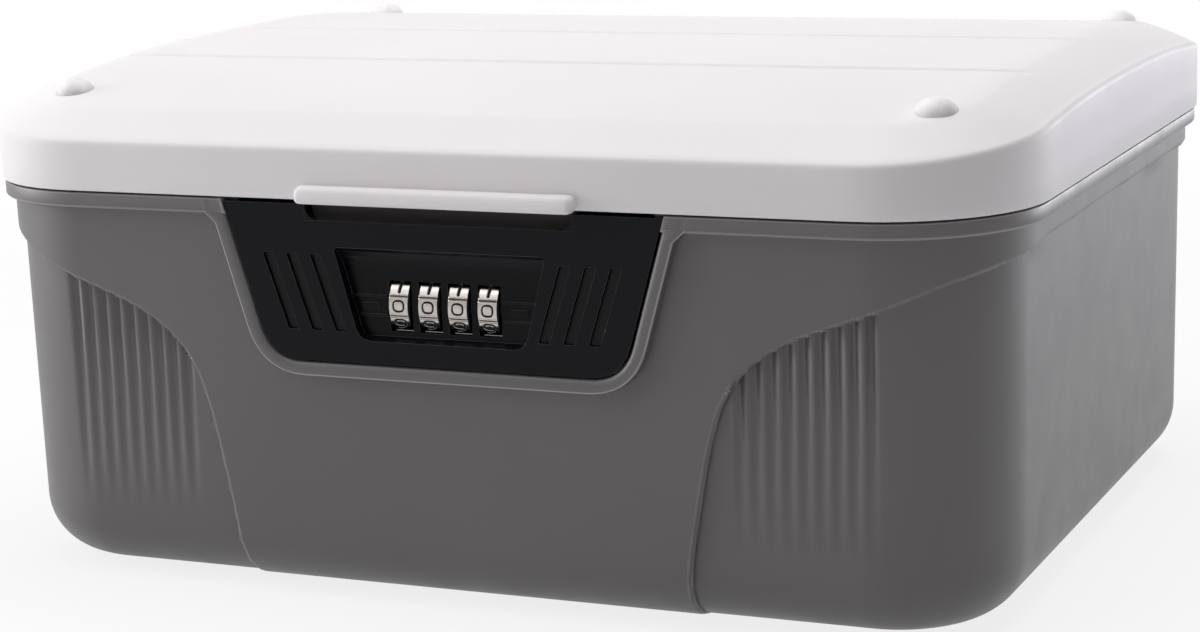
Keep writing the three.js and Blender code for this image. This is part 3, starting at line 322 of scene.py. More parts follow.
@dataclass
class NodeBench:
    """A node tree, with short ways to add and join nodes."""

    tree: bpy.types.NodeTree

    @classmethod
    def on(cls, owner: Material | bpy.types.World) -> "NodeBench":
        """Gives a new material or world a tree of its own, still empty."""
        owner.use_nodes = True
        owner.node_tree.nodes.clear()
        return cls(owner.node_tree)

    def feed(self, kind: str, inputs: dict[str | int, object], output: str | int = 0,
             **settings: object) -> NodeSocket | None:
        """Adds a node.

        Args:
            kind: the node's type.
            inputs: what each input is joined to, or its plain value.
            output: the output that is wanted.
            settings: the node's properties.

        Returns:
            That output, or None for a node that has no outputs.
        """
        node = self.tree.nodes.new("ShaderNode" + kind)
        for name, value in settings.items():
            setattr(node, name, value)
        for name, source in inputs.items():
            if isinstance(source, NodeSocket):
                self.tree.links.new(source, node.inputs[name])
            else:
                node.inputs[name].default_value = source
        return node.outputs[output] if node.outputs else None

    def places(self) -> NodeSocket:
        """Gives the piece's own coordinates, in metres."""
        return self.feed("TexCoord", {}, "Object")

    def attribute(self, name: str) -> NodeSocket:
        """Gives what a piece's mesh stores for each point under a name."""
        return self.feed("Attribute", {}, "Fac", attribute_name=name)

    def noise(self, scale: float, detail: float, place: NodeSocket) -> NodeSocket:
        """Gives soft noise with about one cell each 1/scale metres."""
        return self.feed("TexNoise", {"Vector": place, "Scale": scale, "Detail": detail, "Roughness": 0.55})

    def ramp(self, source: NodeSocket, start: Pair, end: Pair = (0.0, 1.0), **settings: str) -> NodeSocket:
        """Takes a value from one range onto another, no further than its ends."""
        ranges = {"From Min": start[0], "From Max": start[1], "To Min": end[0], "To Max": end[1]}
        return self.feed("MapRange", {"Value": source, **ranges}, **settings)

    def spread(self, source: NodeSocket, low: float = 0.0, high: float = 1.0) -> NodeSocket:
        """Stretches noise from its usual 0.3 to 0.7 onto a range."""
        return self.ramp(source, (0.3, 0.7), (low, high))

    def blend(self, factor: NodeSocket, under: NodeSocket | tuple, over: tuple) -> NodeSocket:
        """Lays a plain colour over another, which is plain too or from a node, by a factor of 0 to 1."""
        return self.feed("Mix", {0: factor, 6: under, 7: over}, 2, data_type="RGBA")

    def cloudy(self, factor: NodeSocket, colour: Triple, gain: float) -> NodeSocket:
        """Varies a screen colour between itself and a darker tone, by a factor."""
        return self.blend(factor, linear(*colour, gain=gain), linear(*colour))

    def bump(self, source: NodeSocket, depth: float, strength: float) -> NodeSocket:
        """Turns a height into a normal, depth in metres."""
        return self.feed("Bump", {"Height": source, "Strength": strength, "Distance": depth})

    def seen(self) -> NodeSocket:
        """Gives 1 for rays from the camera, a mirror or clear material, and 0 for light that scatters."""
        path = self.tree.nodes.new("ShaderNodeLightPath").outputs
        seen = self.feed("Math", {0: path["Is Camera Ray"], 1: path["Is Glossy Ray"]}, operation="MAXIMUM")
        return self.feed("Math", {0: seen, 1: path["Is Transmission Ray"]}, operation="MAXIMUM")


def linear(red: float, green: float, blue: float, gain: float = 1.0) -> tuple[float, float, float, float]:
    """Turns a screen colour of 0 to 255 into the linear colour that a shader takes."""
    shares = (min(channel * gain, 255) / 255 for channel in (red, green, blue))
    channels = [share / 12.92 if share <= 0.04045 else ((share + 0.055) / 1.055) ** 2.4 for share in shares]
    return (*channels, 1.0)


@dataclass(frozen=True)
class Finish(ABC):
    """A finish with a name and a screen colour; each kind says what its shader takes."""

    name: str
    colour: Triple

    @abstractmethod
    def inputs(self, bench: NodeBench, place: NodeSocket) -> dict[str, object]:
        """Gives the shader's inputs by name, as plain values or from nodes."""

    def make(self) -> Material:
        """Builds the material."""
        material = bpy.data.materials.new(self.name)
        bench = NodeBench.on(material)
        shader = bench.feed("BsdfPrincipled", self.inputs(bench, bench.places()))
        bench.feed("OutputMaterial", {"Surface": shader})
        return material


@dataclass(frozen=True)
class MouldedPlastic(Finish):
    """A moulded plastic with a fine grain, slight cloudiness and uneven gloss."""

    roughness: float
    gloss_spread: float = 0.05
    grain_cells: float = 2600.0
    grain_depth: float = 1.2e-5
    grain_strength: float = 0.25
    cloud: float = 0.97
    glow: float = 0.0
    sheen_level: float = 0.12
    # A painted highlight on rounded edges, and painted shade on surfaces further back:
    painted_highlight_colour: Triple | None = None
    recess_shade_colour: Triple | None = None
    recess_shade_range: Pair = (0.0, 1.0)

    def tone(self, bench: NodeBench, place: NodeSocket) -> NodeSocket:
        """Gives the colour: cloudy, with a painted highlight along rounded edges and painted shade further
        back, where these are set.
        """
        colour = bench.cloudy(bench.spread(bench.noise(14.0, 3.0, place)), self.colour, self.cloud)
        if self.painted_highlight_colour:
            # painted highlight: rounded edges, marked by the attribute edge, turn paler
            colour = bench.blend(bench.attribute("edge"), colour, linear(*self.painted_highlight_colour))
        if self.recess_shade_colour:
            # painted shade: surfaces further back than the front face turn darker
            sunk = bench.ramp(bench.feed("SeparateXYZ", {0: place}, "Y"), self.recess_shade_range)
            colour = bench.blend(sunk, colour, linear(*self.recess_shade_colour))
        return colour

    def inputs(self, bench: NodeBench, place: NodeSocket) -> dict[str, object]:
        """Gives cloud in the colour, gloss that varies and grain as a bump."""
        gloss = bench.spread(bench.noise(60.0, 4.0, place), self.roughness - self.gloss_spread,
                             self.roughness + self.gloss_spread)
        grain = bench.bump(bench.noise(self.grain_cells, 2.0, place), self.grain_depth, self.grain_strength)
        return {"Base Color": self.tone(bench, place), "Roughness": gloss, "Normal": grain,
                "Subsurface Weight": self.glow, "Subsurface Scale": 0.002,
                "Subsurface Radius": (0.9, 0.85, 0.8), "Specular IOR Level": self.sheen_level}


@dataclass(frozen=True)
class WorkedMetal(Finish):
    """A metal with fine tool lines and uneven polish; ink fills the engraving that a piece marks, and painted
    shade darkens the fine lines that it marks too.
    """

    roughness: float
    line_stretch: Triple = (1.0, 1.0, 1.0)
    ink: bool = False

    def inputs(self, bench: NodeBench, place: NodeSocket) -> dict[str, object]:
        """Gives smudges in colour and gloss, and tool lines as a bump."""
        smudge = bench.noise(400.0, 3.0, place)
        stretched = bench.feed("Mapping", {"Vector": place, "Scale": self.line_stretch})
        colour = bench.cloudy(bench.spread(smudge), self.colour, 0.93)
        gloss = bench.spread(smudge, self.roughness * 0.75, self.roughness * 1.35)
        metal = 1.0
        if self.ink:
            # The attribute ink darkens the engraved figures, and also the fine lines between them as painted
            # shade.
            mark = bench.attribute("ink")
            colour = bench.blend(mark, colour, linear(16, 15, 16))
            gloss = bench.feed("Math", {0: mark, 1: 0.35, 2: gloss}, operation="MULTIPLY_ADD")
            metal = bench.feed("Math", {0: 1.0, 1: mark}, operation="SUBTRACT")
        return {"Base Color": colour, "Roughness": gloss, "Metallic": metal, "Specular IOR Level": 0.1,
                "Normal": bench.bump(bench.noise(1500.0, 3.0, stretched), 6e-6, 0.3)}


@dataclass(frozen=True)
class SoftRubber(Finish):
    """A rubber, milky and slightly clear or plain dark."""

    clear: float = 0.0
    glow: float = 0.0

    def inputs(self, bench: NodeBench, place: NodeSocket) -> dict[str, object]:
        """Gives a dull, slightly uneven skin over a body that lets some light through."""
        cloud = bench.spread(bench.noise(300.0, 3.0, place))
        return {"Base Color": bench.cloudy(cloud, self.colour, 0.92),
                "Roughness": bench.spread(bench.noise(900.0, 3.0, place), 0.38, 0.55),
                "Normal": bench.bump(bench.noise(1800.0, 2.0, place), 1e-5, 0.3),
                "IOR": 1.43, "Transmission Weight": self.clear, "Subsurface Weight": self.glow,
                "Subsurface Radius": (0.9, 0.89, 0.88), "Subsurface Scale": 0.002, "Specular IOR Level": 0.25}


@dataclass
class Finishes:
    """Every finish of the box, made once."""

    # The grey's rounded edges are painted paler: a painted highlight.
    grey: Material = field(default_factory=MouldedPlastic(
        "grey_plastic", (96, 93, 94), 0.44, grain_depth=1.6e-5, grain_strength=0.3, sheen_level=0.58,
        painted_highlight_colour=(158, 154, 153)).make)
    white: Material = field(default_factory=MouldedPlastic(
        "white_plastic", (239, 235, 237), 0.46, cloud=0.985, grain_strength=0.12, glow=0.12).make)
    black: Material = field(default_factory=MouldedPlastic(
        "black_plastic", (18, 18, 22), 0.3, grain_cells=3000.0, grain_strength=0.15, cloud=0.9).make)
    # The fascia turns darker further back, in the tray: painted shade.
    fascia: Material = field(default_factory=MouldedPlastic(
        "fascia_plastic", (15, 14, 22), 0.3, grain_cells=3000.0, grain_strength=0.12, cloud=0.9,
        recess_shade_colour=(3, 4, 7), recess_shade_range=(-0.1212, -0.1203)).make)
    # A black much paler than the fascia, for its bevelled edges: a painted highlight.
    painted_glint: Material = field(default_factory=MouldedPlastic(
        "painted_edge_glint", (78, 78, 86), 0.25, grain_strength=0.0, cloud=0.9, sheen_level=1.0).make)
    # A warm grey much lighter than the fascia, for the scoop's cove: painted bounce light.
    painted_bounce: Material = field(default_factory=MouldedPlastic(
        "painted_bounce_plastic", (64, 62, 60), 0.4, cloud=0.9, sheen_level=0.15).make)
    # A dark grey lighter than the fascia, for the slot floors: painted light.
    painted_slot_light: Material = field(default_factory=MouldedPlastic(
        "painted_slot_light_plastic", (30, 29, 30), 0.4, cloud=0.9).make)
    steel: Material = field(default_factory=WorkedMetal("plain_steel", (158, 158, 160), 0.32).make)
    nickel: Material = field(default_factory=WorkedMetal(
        "bright_nickel", (196, 189, 184), 0.17, line_stretch=(1.0, 0.06, 0.06), ink=True).make)
    blued: Material = field(default_factory=WorkedMetal("blued_steel", (34, 35, 42), 0.4).make)
    zinc: Material = field(default_factory=WorkedMetal("zinc_alloy", (142, 140, 136), 0.45).make)
    clear: Material = field(default_factory=SoftRubber("clear_rubber", (252, 248, 249), 0.01, 0.5).make)
    dark: Material = field(default_factory=SoftRubber("dark_rubber", (44, 44, 46)).make)


# Shared outline


@dataclass(frozen=True)
class Outline:
    """The rounded rectangle of tub and lid. A column stands at anchor + (radius - inset) * direction."""

    half_width: float = 150.0
    half_depth: float = 122.65
    radius: float = 39.9

    @property
    def flat_x(self) -> float:
        """Half the length of the straight front."""
        return self.half_width - self.radius

    @property
    def flat_y(self) -> float:
        """Half the length of the straight side."""
        return self.half_depth - self.radius

    def arc(self, deep: float, angles: np.ndarray) -> tuple[np.ndarray, np.ndarray]:
        """Gives the anchors and directions of columns round a right corner, the rear one or the front one.

        Args:
            deep: 1 for the rear corner, -1 for the front one.
            angles: directions in radians, counted from +x.
        """
        anchor = np.array([self.flat_x, deep * self.flat_y])
        return np.broadcast_to(anchor, (len(angles), 2)), circle(angles)

    def right_half(self, front: np.ndarray, front_arc: np.ndarray, side: np.ndarray, rear_arc: np.ndarray,
                   rear: np.ndarray) -> tuple[np.ndarray, np.ndarray]:
        """Gives the columns from the middle of the front, over the right side, to the middle of the rear.

        Args:
            front: x of the columns on the straight front, rising.
            front_arc: angles round the front corner, between -90 and 0 degrees, in radians.
            side: y of the columns on the right side, rising.
            rear_arc: angles round the rear corner.
            rear: x of the columns on the rear, falling.

        Returns:
            Anchors and directions, a row for each column.
        """
        parts = [
            (np.stack([front, np.full_like(front, -self.flat_y)], 1), np.tile([0.0, -1.0], (len(front), 1))),
            self.arc(-1, front_arc),
            (np.stack([np.full_like(side, self.flat_x), side], 1), np.tile([1.0, 0.0], (len(side), 1))),
            self.arc(1, rear_arc),
            (np.stack([rear, np.full_like(rear, self.flat_y)], 1), np.tile([0.0, 1.0], (len(rear), 1))),
        ]
        return np.concatenate([part[0] for part in parts]), np.concatenate([part[1] for part in parts])


@dataclass(frozen=True)
class FasciaContour:
    """The trapezium that the fascia fills, open at its top; the tub's pocket and its frame share it."""

    half_top: float = 62.5
    half_bottom: float = 50.3
    top: float = 107.0
    bottom: float = 65.4
    corner: float = 9.0

    @property
    def lean(self) -> float:
        """How far a side leans out for each millimetre of height."""
        return (self.half_top - self.half_bottom) / (self.top - self.bottom)

    def half_at(self, height: np.ndarray | float, grow: float) -> np.ndarray | float:
        """Gives the half width at a height, with the contour pushed outwards by grow."""
        return self.half_bottom + (height - self.bottom) * self.lean + grow * math.hypot(1, self.lean)

    def path(self, grow: float, top: float) -> np.ndarray:
        """Gives rows of x and z from the left top, round both lower corners, to the right top.

        Args:
            grow: how far the contour is pushed outwards.
            top: the height of both ends.
        """
        foot = self.bottom - grow
        low, high = (np.array([self.half_at(height, grow), height]) for height in (foot, top))
        turn = round_corner(np.array([0.0, foot]), low, high, max(self.corner + grow, 2.0))
        level = np.linspace(turn[-1, 1], top, 12)[1:]
        right_side = np.concatenate([turn, np.stack([self.half_at(level, grow), level], axis=1)])
        return np.concatenate([right_side[::-1] * [-1, 1], right_side])


# Tub


@dataclass
class Tub:
    """The grey tub: drafted walls, a raised front with a long edge, fluted corners, a rim and a lip."""

    outline: Outline
    contour: FasciaContour
    seam: float = 107.6
    rim_under: float = 103.4
    rim_inset: float = 0.8
    raised_inset: float = 3.4
    recess_inset: float = 5.3
    draft: float = 1.2
    foot_round: float = 17.0
    wall: float = 2.4
    floor: float = 3.0
    lip_inset: float = 3.3
    lip_wall: float = 2.2
    lip_height: float = 5.0
    edge: float = 0.5
    rim_round: float = 0.9
    frame_gap: float = 0.35
    frame_width: float = 4.3
    frame_depth: float = 4.2
    frame_round: float = 0.55
    frame_ease: float = 1.9
    frame_flare: float = 2.5
    frame_splay: float = 0.25
    frame_proud: float = 0.02
    ledge_depth: float = 3.1
    notch_inset: float = 3.0
    band_foot: float = 97.0
    edge_heights: tuple[float, ...] = (
        0, 9, 20, 30, 40, 50, 58, 62, 67, 71, 74.5, 77.5, 82, 86.5, 91, 94.3, 96.3)
    edge_halves: tuple[float, ...] = (
        65, 65.5, 66.8, 68.6, 70.4, 72.6, 74.8, 77, 80.3, 85, 90, 96.5, 109, 120.5, 130, 140, 146)
    step_width: float = 1.3
    step_shares: tuple[float, ...] = (0.0, 0.22, 0.42, 0.56, 0.66, 0.73, 0.78)
    rows_above: int = 26
    rows_below: int = 46
    close_start: float = 60.0
    steep_end: float = 78.0
    close_end: float = 78.2
    last_fall: float = 119.0
    flute_first: float = 79.6
    flute_pitch: float = 4.3
    flute_count: int = 9
    flute_depth: float = 1.5
    flute_foot: float = 22.0
    flute_full: float = 72.0
    knuckle_starts: tuple[float, ...] = (-102.4, -77.6, 67.6, 92.4)
    knuckle_width: float = 10.0

    @property
    def straight(self) -> float:
        """How far the recessed wall falls before the foot's rounding begins."""
        return self.rim_under - self.edge - self.foot_round

    @property
    def front_face(self) -> float:
        """Where the rim's front face stands."""
        return -(self.outline.half_depth - self.rim_inset)

    def fall_of(self, height: np.ndarray) -> np.ndarray:
        """Turns a height into the way down the wall and round the foot, counted from under the rim."""
        turn = np.arcsin(np.clip(1 - height / self.foot_round, 0, 1))
        return np.where(height >= self.foot_round, self.rim_under - self.edge - height,
                        self.straight + self.foot_round * turn)

    def profile(self, fall: np.ndarray) -> tuple[np.ndarray, np.ndarray]:
        """Gives inset and height of the recessed wall at ways down it.

        Down the wall the height falls and the draft grows; round the foot both follow a quarter circle;
        past it the underside runs inwards.
        """
        turn = np.clip((fall - self.straight) / self.foot_round, 0, QUARTER)
        beyond = np.maximum(fall - self.straight - self.foot_round * QUARTER, 0)
        height = np.where(fall < self.straight, self.rim_under - self.edge - fall,
                          self.foot_round * (1 - np.sin(turn)))
        draft = self.draft * (1 - np.maximum(height, self.foot_round) / self.rim_under)
        return self.recess_inset + draft + self.foot_round * (1 - np.cos(turn)) + beyond, height

    def columns(self) -> tuple[np.ndarray, np.ndarray, np.ndarray]:
        """Places the right half's columns, close together over the flutes and the steep edge.

        Returns:
            Anchors, directions and the way along the outline from the middle of the front.
        """
        outline = self.outline
        fine = self.flute_pitch / 8
        front = np.concatenate([np.linspace(0, self.close_start, 13), np.linspace(60.3, 77.9, 39),
                                np.arange(self.close_end, outline.flat_x - 0.2, fine), [outline.flat_x]])
        bend = outline.radius - self.recess_inset
        close = np.arange(1, 14) * fine / bend
        front_turn = np.concatenate([close, np.linspace(close[-1], QUARTER, 34)[1:]])
        side = np.linspace(-outline.flat_y, outline.flat_y, 22)[1:]
        rear_arc = np.linspace(0, QUARTER, 31)[1:]
        rear = np.linspace(outline.flat_x, 0, 24)[1:]
        anchors, directions = outline.right_half(front, front_turn - QUARTER, side, rear_arc, rear)
        past_corner = outline.flat_x + bend * QUARTER
        past_side = past_corner + 2 * outline.flat_y
        along = np.concatenate([
            front, outline.flat_x + bend * front_turn, past_corner + side + outline.flat_y,
            past_side + bend * rear_arc, past_side + bend * QUARTER + outline.flat_x - rear])
        return anchors, directions, along

    def raised_edge(self) -> np.ndarray:
        """Gives the raised front's edge, from under the foot to the middle of the rear.

        A row holds the way along the outline and the way down the wall. The line runs through the given
        heights and half widths, and a bell of 8 steps of half a millimetre smooths it.
        """
        outline = self.outline
        bend = outline.radius - self.recess_inset
        half = np.array(self.edge_halves)
        share = np.clip((half - outline.flat_x) / bend, 0, 1)
        along = np.where(half > outline.flat_x, outline.flat_x + bend * np.arcsin(share), half)
        band = self.rim_under - self.edge - self.band_foot
        along = np.concatenate([[64.8], along, [along[-1] + 12, along[-1] + 20, 600]])
        fall = np.concatenate([[122.0], self.fall_of(np.array(self.edge_heights, float)), [band, band, band]])
        way = np.concatenate([[0], np.cumsum(np.hypot(np.diff(along), np.diff(fall)))])
        fine = np.arange(0, way[-1], 0.5)
        line = np.stack([np.interp(fine, way, along), np.interp(fine, way, fall)], axis=1)
        kernel = np.exp(-0.5 * (np.arange(-24, 25) / 8) ** 2)
        kernel /= kernel.sum()
        padded = np.pad(line, ((24, 24), (0, 0)), mode="reflect", reflect_type="odd")
        return np.stack([np.convolve(padded[:, axis], kernel, mode="valid") for axis in (0, 1)], axis=1)

    def wall_falls(self, along: np.ndarray, line: np.ndarray) -> np.ndarray:
        """Spreads each column's rows: evenly to the raised edge, across its step and on to the underside.

        Where the edge runs steeply, the close columns carry its step and the rows keep their spread. Round
        the foot the rows stand four times as close as elsewhere.

        Args:
            along: the columns' ways along the outline.
            line: the raised edge.

        Returns:
            The points' ways down the wall, a row for each row of the grid.
        """
        held = np.maximum(along, self.steep_end)
        at_edge = np.interp(held, line[:, 0], line[:, 1])
        slope = np.abs(np.gradient(line[:, 1]) / np.maximum(np.abs(np.gradient(line[:, 0])), 1e-3))
        stretch = np.hypot(1, np.interp(held, line[:, 0], slope))
        start = np.clip(at_edge - self.step_width * stretch, 0.6, self.last_fall - 3)
        stop = np.clip(at_edge + 0.4 * stretch, start + 0.5, self.last_fall - 0.6)
        ways = np.linspace(0, self.last_fall, 400)
        effort = ways + 3 * np.clip(ways - self.straight, 0, self.foot_round * QUARTER)

        def spread(low: np.ndarray, high: np.ndarray, shares: np.ndarray) -> np.ndarray:
            """Places rows between two ways down the wall, by their shares of the effort."""
            first, last = (np.interp(way, ways, effort) for way in (low, high))
            return np.interp(first + shares[:, None] * (last - first), effort, ways)

        above = spread(np.zeros_like(start), start, np.linspace(0, 1, self.rows_above + 1)[:-1])
        across = start + np.array(self.step_shares)[:, None] * (stop - start)
        below = spread(stop, np.full_like(stop, self.last_fall), np.linspace(0, 1, self.rows_below))
        return np.concatenate([above, across, below])

    def follow_edge(self, along: np.ndarray, falls: np.ndarray, line: np.ndarray) -> np.ndarray:
        """Slides the close columns along each row, so that they run with the steep part of the raised edge.

        A third of them spreads between the plain front and the step, a third stands across the step and a
        third leads on to the flutes.

        Returns:
            The points' ways along the outline, the same shape as falls.
        """
        close = (along > self.close_start + 0.1) & (along < self.steep_end)
        steep = line[line[:, 0] <= self.steep_end - 0.6][::-1]
        row_fall = falls[:, np.argmax(close)]
        edge = np.interp(row_fall, steep[:, 1], steep[:, 0])[:, None]
        slope = np.abs(np.gradient(steep[:, 0])) / np.maximum(np.abs(np.gradient(steep[:, 1])), 1e-3)
        stretch = np.hypot(1, np.clip(np.interp(row_fall, steep[:, 1], slope), 0, 1.2))[:, None]
        share = np.linspace(0, 1, 15)[1:-1]
        step = edge + stretch * np.linspace(-self.step_width - 0.15, 0.12, 13)
        before = self.close_start + (step[:, :1] - self.close_start) * share
        after = step[:, -1:] + (self.close_end - step[:, -1:]) * share
        ways = np.array(np.broadcast_to(along, falls.shape))
        ways[:, close] = np.concatenate([before, step, after], axis=1)
        return ways

    def raise_at(self, along: np.ndarray, fall: np.ndarray, line: np.ndarray) -> np.ndarray:
        """Gives how far the front stands out, from 0 in the recess to 1.

        The distance to the edge line is measured for each point, and the step climbs along a quarter
        circle: the root of 1 - (1 - t)^2.
        """
        points = np.stack([along.ravel(), fall.ravel()], axis=1)
        near = line[(line[:, 0] < along.max() + 5)][::2]
        batches = np.array_split(points, len(points) // 2000 + 1)
        distance = np.concatenate([
            np.hypot(batch[:, :1] - near[:, 0], batch[:, 1:] - near[:, 1]).min(axis=1) for batch in batches])
        at_edge = np.where(points[:, 0] < line[0, 0], 1e3, np.interp(points[:, 0], line[:, 0], line[:, 1]))
        signed = np.where(points[:, 1] < at_edge, distance, -distance)
        share = np.clip((signed + 0.05) / self.step_width, 0, 1)
        return np.sqrt(1 - (1 - share) ** 2).reshape(fall.shape)

    def flutes_at(self, across: np.ndarray, height: np.ndarray) -> np.ndarray:
        """Gives the flutes' depth: a cosine over each pitch that fades towards the foot."""
        half = self.flute_pitch / 2
        start = self.flute_first - half
        end = self.flute_first + (self.flute_count - 1) * self.flute_pitch + half
        wave = 0.5 + 0.5 * np.cos((across - self.flute_first) * TURN / self.flute_pitch)
        window = ((across > start) & (across < end)).astype(float)
        fade = np.clip((height - self.flute_foot) / (self.flute_full - self.flute_foot), 0, 1)
        return self.flute_depth * wave * window * fade ** 0.85

    def soft_edge(self, inset: float, height: float, side: int) -> list[Pair]:
        """Gives inset and height of three points down a worn upper edge, from its flat to its wall.

        Args:
            inset: where the wall below the edge stands.
            height: where the flat beside it lies.
            side: 1 if the flat runs inwards from the wall, -1 if it runs outwards.
        """
        edge = self.edge
        return [(inset + side * edge, height), (inset + side * 0.3 * edge, height - 0.3 * edge),
                (inset, height - edge)]

    def rim_rows(self) -> tuple[np.ndarray, np.ndarray]:
        """Gives inset and height of the rows from the inner floor, over lip and rim, to under the rim."""
        inner = self.foot_round - self.wall
        inside = self.recess_inset + self.wall
        low = self.draft * (1 - self.foot_round / self.rim_under)
        rows = [(inside + low + inner * (1 - math.cos(turn)), self.floor + inner * (1 - math.sin(turn)))
                for turn in np.linspace(QUARTER, 0, 9)]
        top = self.seam + self.lip_height
        lip_in = self.lip_inset + self.lip_wall
        rows += [(inside, 60.0), (inside, self.rim_under), (lip_in, self.seam),
                 *self.soft_edge(lip_in, top, -1)[::-1], *self.soft_edge(self.lip_inset, top, 1),
                 (self.lip_inset, self.seam), *self.soft_edge(self.rim_inset, self.seam, 1)]
        rows += [(self.rim_inset + self.rim_round * (1 - math.cos(turn)),
                  self.rim_under + self.rim_round * (1 - math.sin(turn)))
                 for turn in np.linspace(0, QUARTER, 6)]
        rows += [(self.raised_inset - self.edge, self.rim_under),
                 (self.raised_inset - 0.2 * self.edge, self.rim_under - 0.2 * self.edge)]
        return np.array(rows)[:, 0], np.array(rows)[:, 1]

    def shell(self) -> Object:
        """Builds the tub's skin on one grid of columns and rows, and closes both floors."""
        anchors, directions, along = self.columns()
        line = self.raised_edge()
        falls = self.wall_falls(along, line)
        ways = self.follow_edge(along, falls, line)
        slide = ways - along
        inset, height = self.profile(falls)
        raised = self.raise_at(ways, falls, line)
        across = anchors[:, 0] + slide + (self.outline.radius - inset) * directions[:, 0]
        inset = inset - (self.recess_inset - self.raised_inset) * raised
        inset = inset + self.flutes_at(across, height) * (1 - raised) * (directions[:, 1] < 0)
        rim_inset, rim_height = self.rim_rows()
        count = len(along)
        inset = np.concatenate([np.repeat(rim_inset[:, None], count, 1), inset])
        height = np.concatenate([np.repeat(rim_height[:, None], count, 1), height])
        slide = np.concatenate([np.repeat(slide[:1], len(rim_height), 0), slide])
        reach = self.outline.radius - inset
        right = np.stack([anchors[:, 0] + slide + reach * directions[:, 0],
                          anchors[:, 1] + reach * directions[:, 1], height], 2)
        grid = np.concatenate([right, right[:, -2:0:-1] * [-1, 1, 1]], axis=1)
        rows, width = grid.shape[:2]
        halved = np.array([0.5, 0.5, 1])
        poles = np.array([[0, 0, self.floor], [0, 0, 0.0]])
        points = np.concatenate([grid[0] * halved, grid.reshape(-1, 3), grid[-1] * halved, poles])
        total = (rows + 2) * width
        faces = [quads(rows + 2, width), fan(np.arange(width)[::-1], total),
                 fan(np.arange(width) + total - width, total + 1)]
        return make_object("tub_shell", points, faces, 40.0)

    def frame_ring(self) -> Object:
        """Carries the frame's section along the fascia's contour, flared where it meets the rim."""
        face = self.front_face - self.frame_proud
        back = face + self.frame_depth
        turn = np.linspace(0, QUARTER, 6)
        ease, edge = self.frame_ease, self.frame_round
        inner = np.array([self.frame_gap + ease, face + ease]) - ease * circle(turn)
        outer = np.array([self.frame_width - edge, face + edge]) - edge * circle(turn)[:, ::-1] * [-1, 1]
        foot = [[self.frame_width + self.frame_splay, back]]
        section = np.concatenate([[[self.frame_gap, back]], inner, outer, foot])
        rings = []
        for grow, depth in section:
            path = self.contour.path(grow, self.seam - 0.6)
            share = np.clip((path[:, 1] - self.rim_under + self.frame_flare) / self.frame_flare, 0, 1)
            flare = self.frame_flare * (1 - np.sqrt(1 - share ** 2)) * (grow > self.frame_width / 2)
            across = path[:, 0] + np.sign(path[:, 0]) * flare
            rings.append(np.stack([across, np.full(len(path), depth), path[:, 1]], axis=1))
        grid = np.stack(rings, axis=1)
        return tube("lock_frame", grid, 40.0)

    def build(self, finishes: Finishes) -> None:
        """Builds the tub with its pocket for the fascia, its frame and its knuckles, and dresses them."""
        shell = self.shell()
        above, outside = 140.0, -160.0
        pocket = prism("pocket", self.contour.path(self.frame_gap, above), outside,
                       self.front_face + self.ledge_depth, Axis.Y)
        notch = prism("notch", self.contour.path(-self.notch_inset, above), outside, -80.0, Axis.Y)
        carve(shell, [pocket, notch])
        ring = self.frame_ring()
        # The tub's and the frame's rounded edges are marked for a painted highlight.
        note_edge_highlight(shell, 180.0, 1)
        note_edge_highlight(ring)
        finish_piece(shell, finishes.grey, Body.BOX, Slot.GREY, "base_tub")
        finish_piece(ring, finishes.grey, Body.BOX, Slot.GREY)
        width = self.knuckle_width
        for index, start in enumerate(self.knuckle_starts):
            knuckle = Hinge().knuckle(f"tub_knuckle_{index + 1}", start, start + width, upper=False)
            finish_piece(knuckle, finishes.grey, Body.BOX, Slot.GREY)


@dataclass(frozen=True)
class Hinge:
    """The hinge pin's place and the knuckles round it, which the tub and the lid carry by turns."""

    pin_y: float = 126.65
    pin_z: float = 107.9
    radius: float = 3.6
    tub_wall: float = 117.0
    tub_top: float = 107.2
    lid_wall: float = 121.4
    lid_gap: float = 0.8
    edge: float = 0.35

    def knuckle(self, name: str, start: float, end: float, upper: bool) -> Object:
        """Makes one knuckle: a circle about the pin drawn out to the wall that carries it.

        Args:
            name: the piece's name.
            start: its left end.
            end: its right end.
            upper: True for the lid's, whose arm lies above the pin.
        """
        near, top = self.pin_y - self.radius, self.pin_z + self.radius
        if upper:
            foot = self.pin_z + self.lid_gap
            first, arm = -180, [[self.lid_wall, top], [self.lid_wall, foot], [near, foot]]
        else:
            low = self.pin_z - self.radius
            first, arm = -90, [[near, self.tub_top], [self.tub_wall, self.tub_top], [self.tub_wall, low]]
        turn = np.linspace(math.radians(first), math.radians(first + 270), 30)
        ring = np.array([self.pin_y, self.pin_z]) + self.radius * circle(turn)
        piece = prism(name, np.concatenate([ring, arm]), start, end, Axis.X)
        bevel(piece, self.edge, 50)
        settle(piece)
        return piece


# Lid


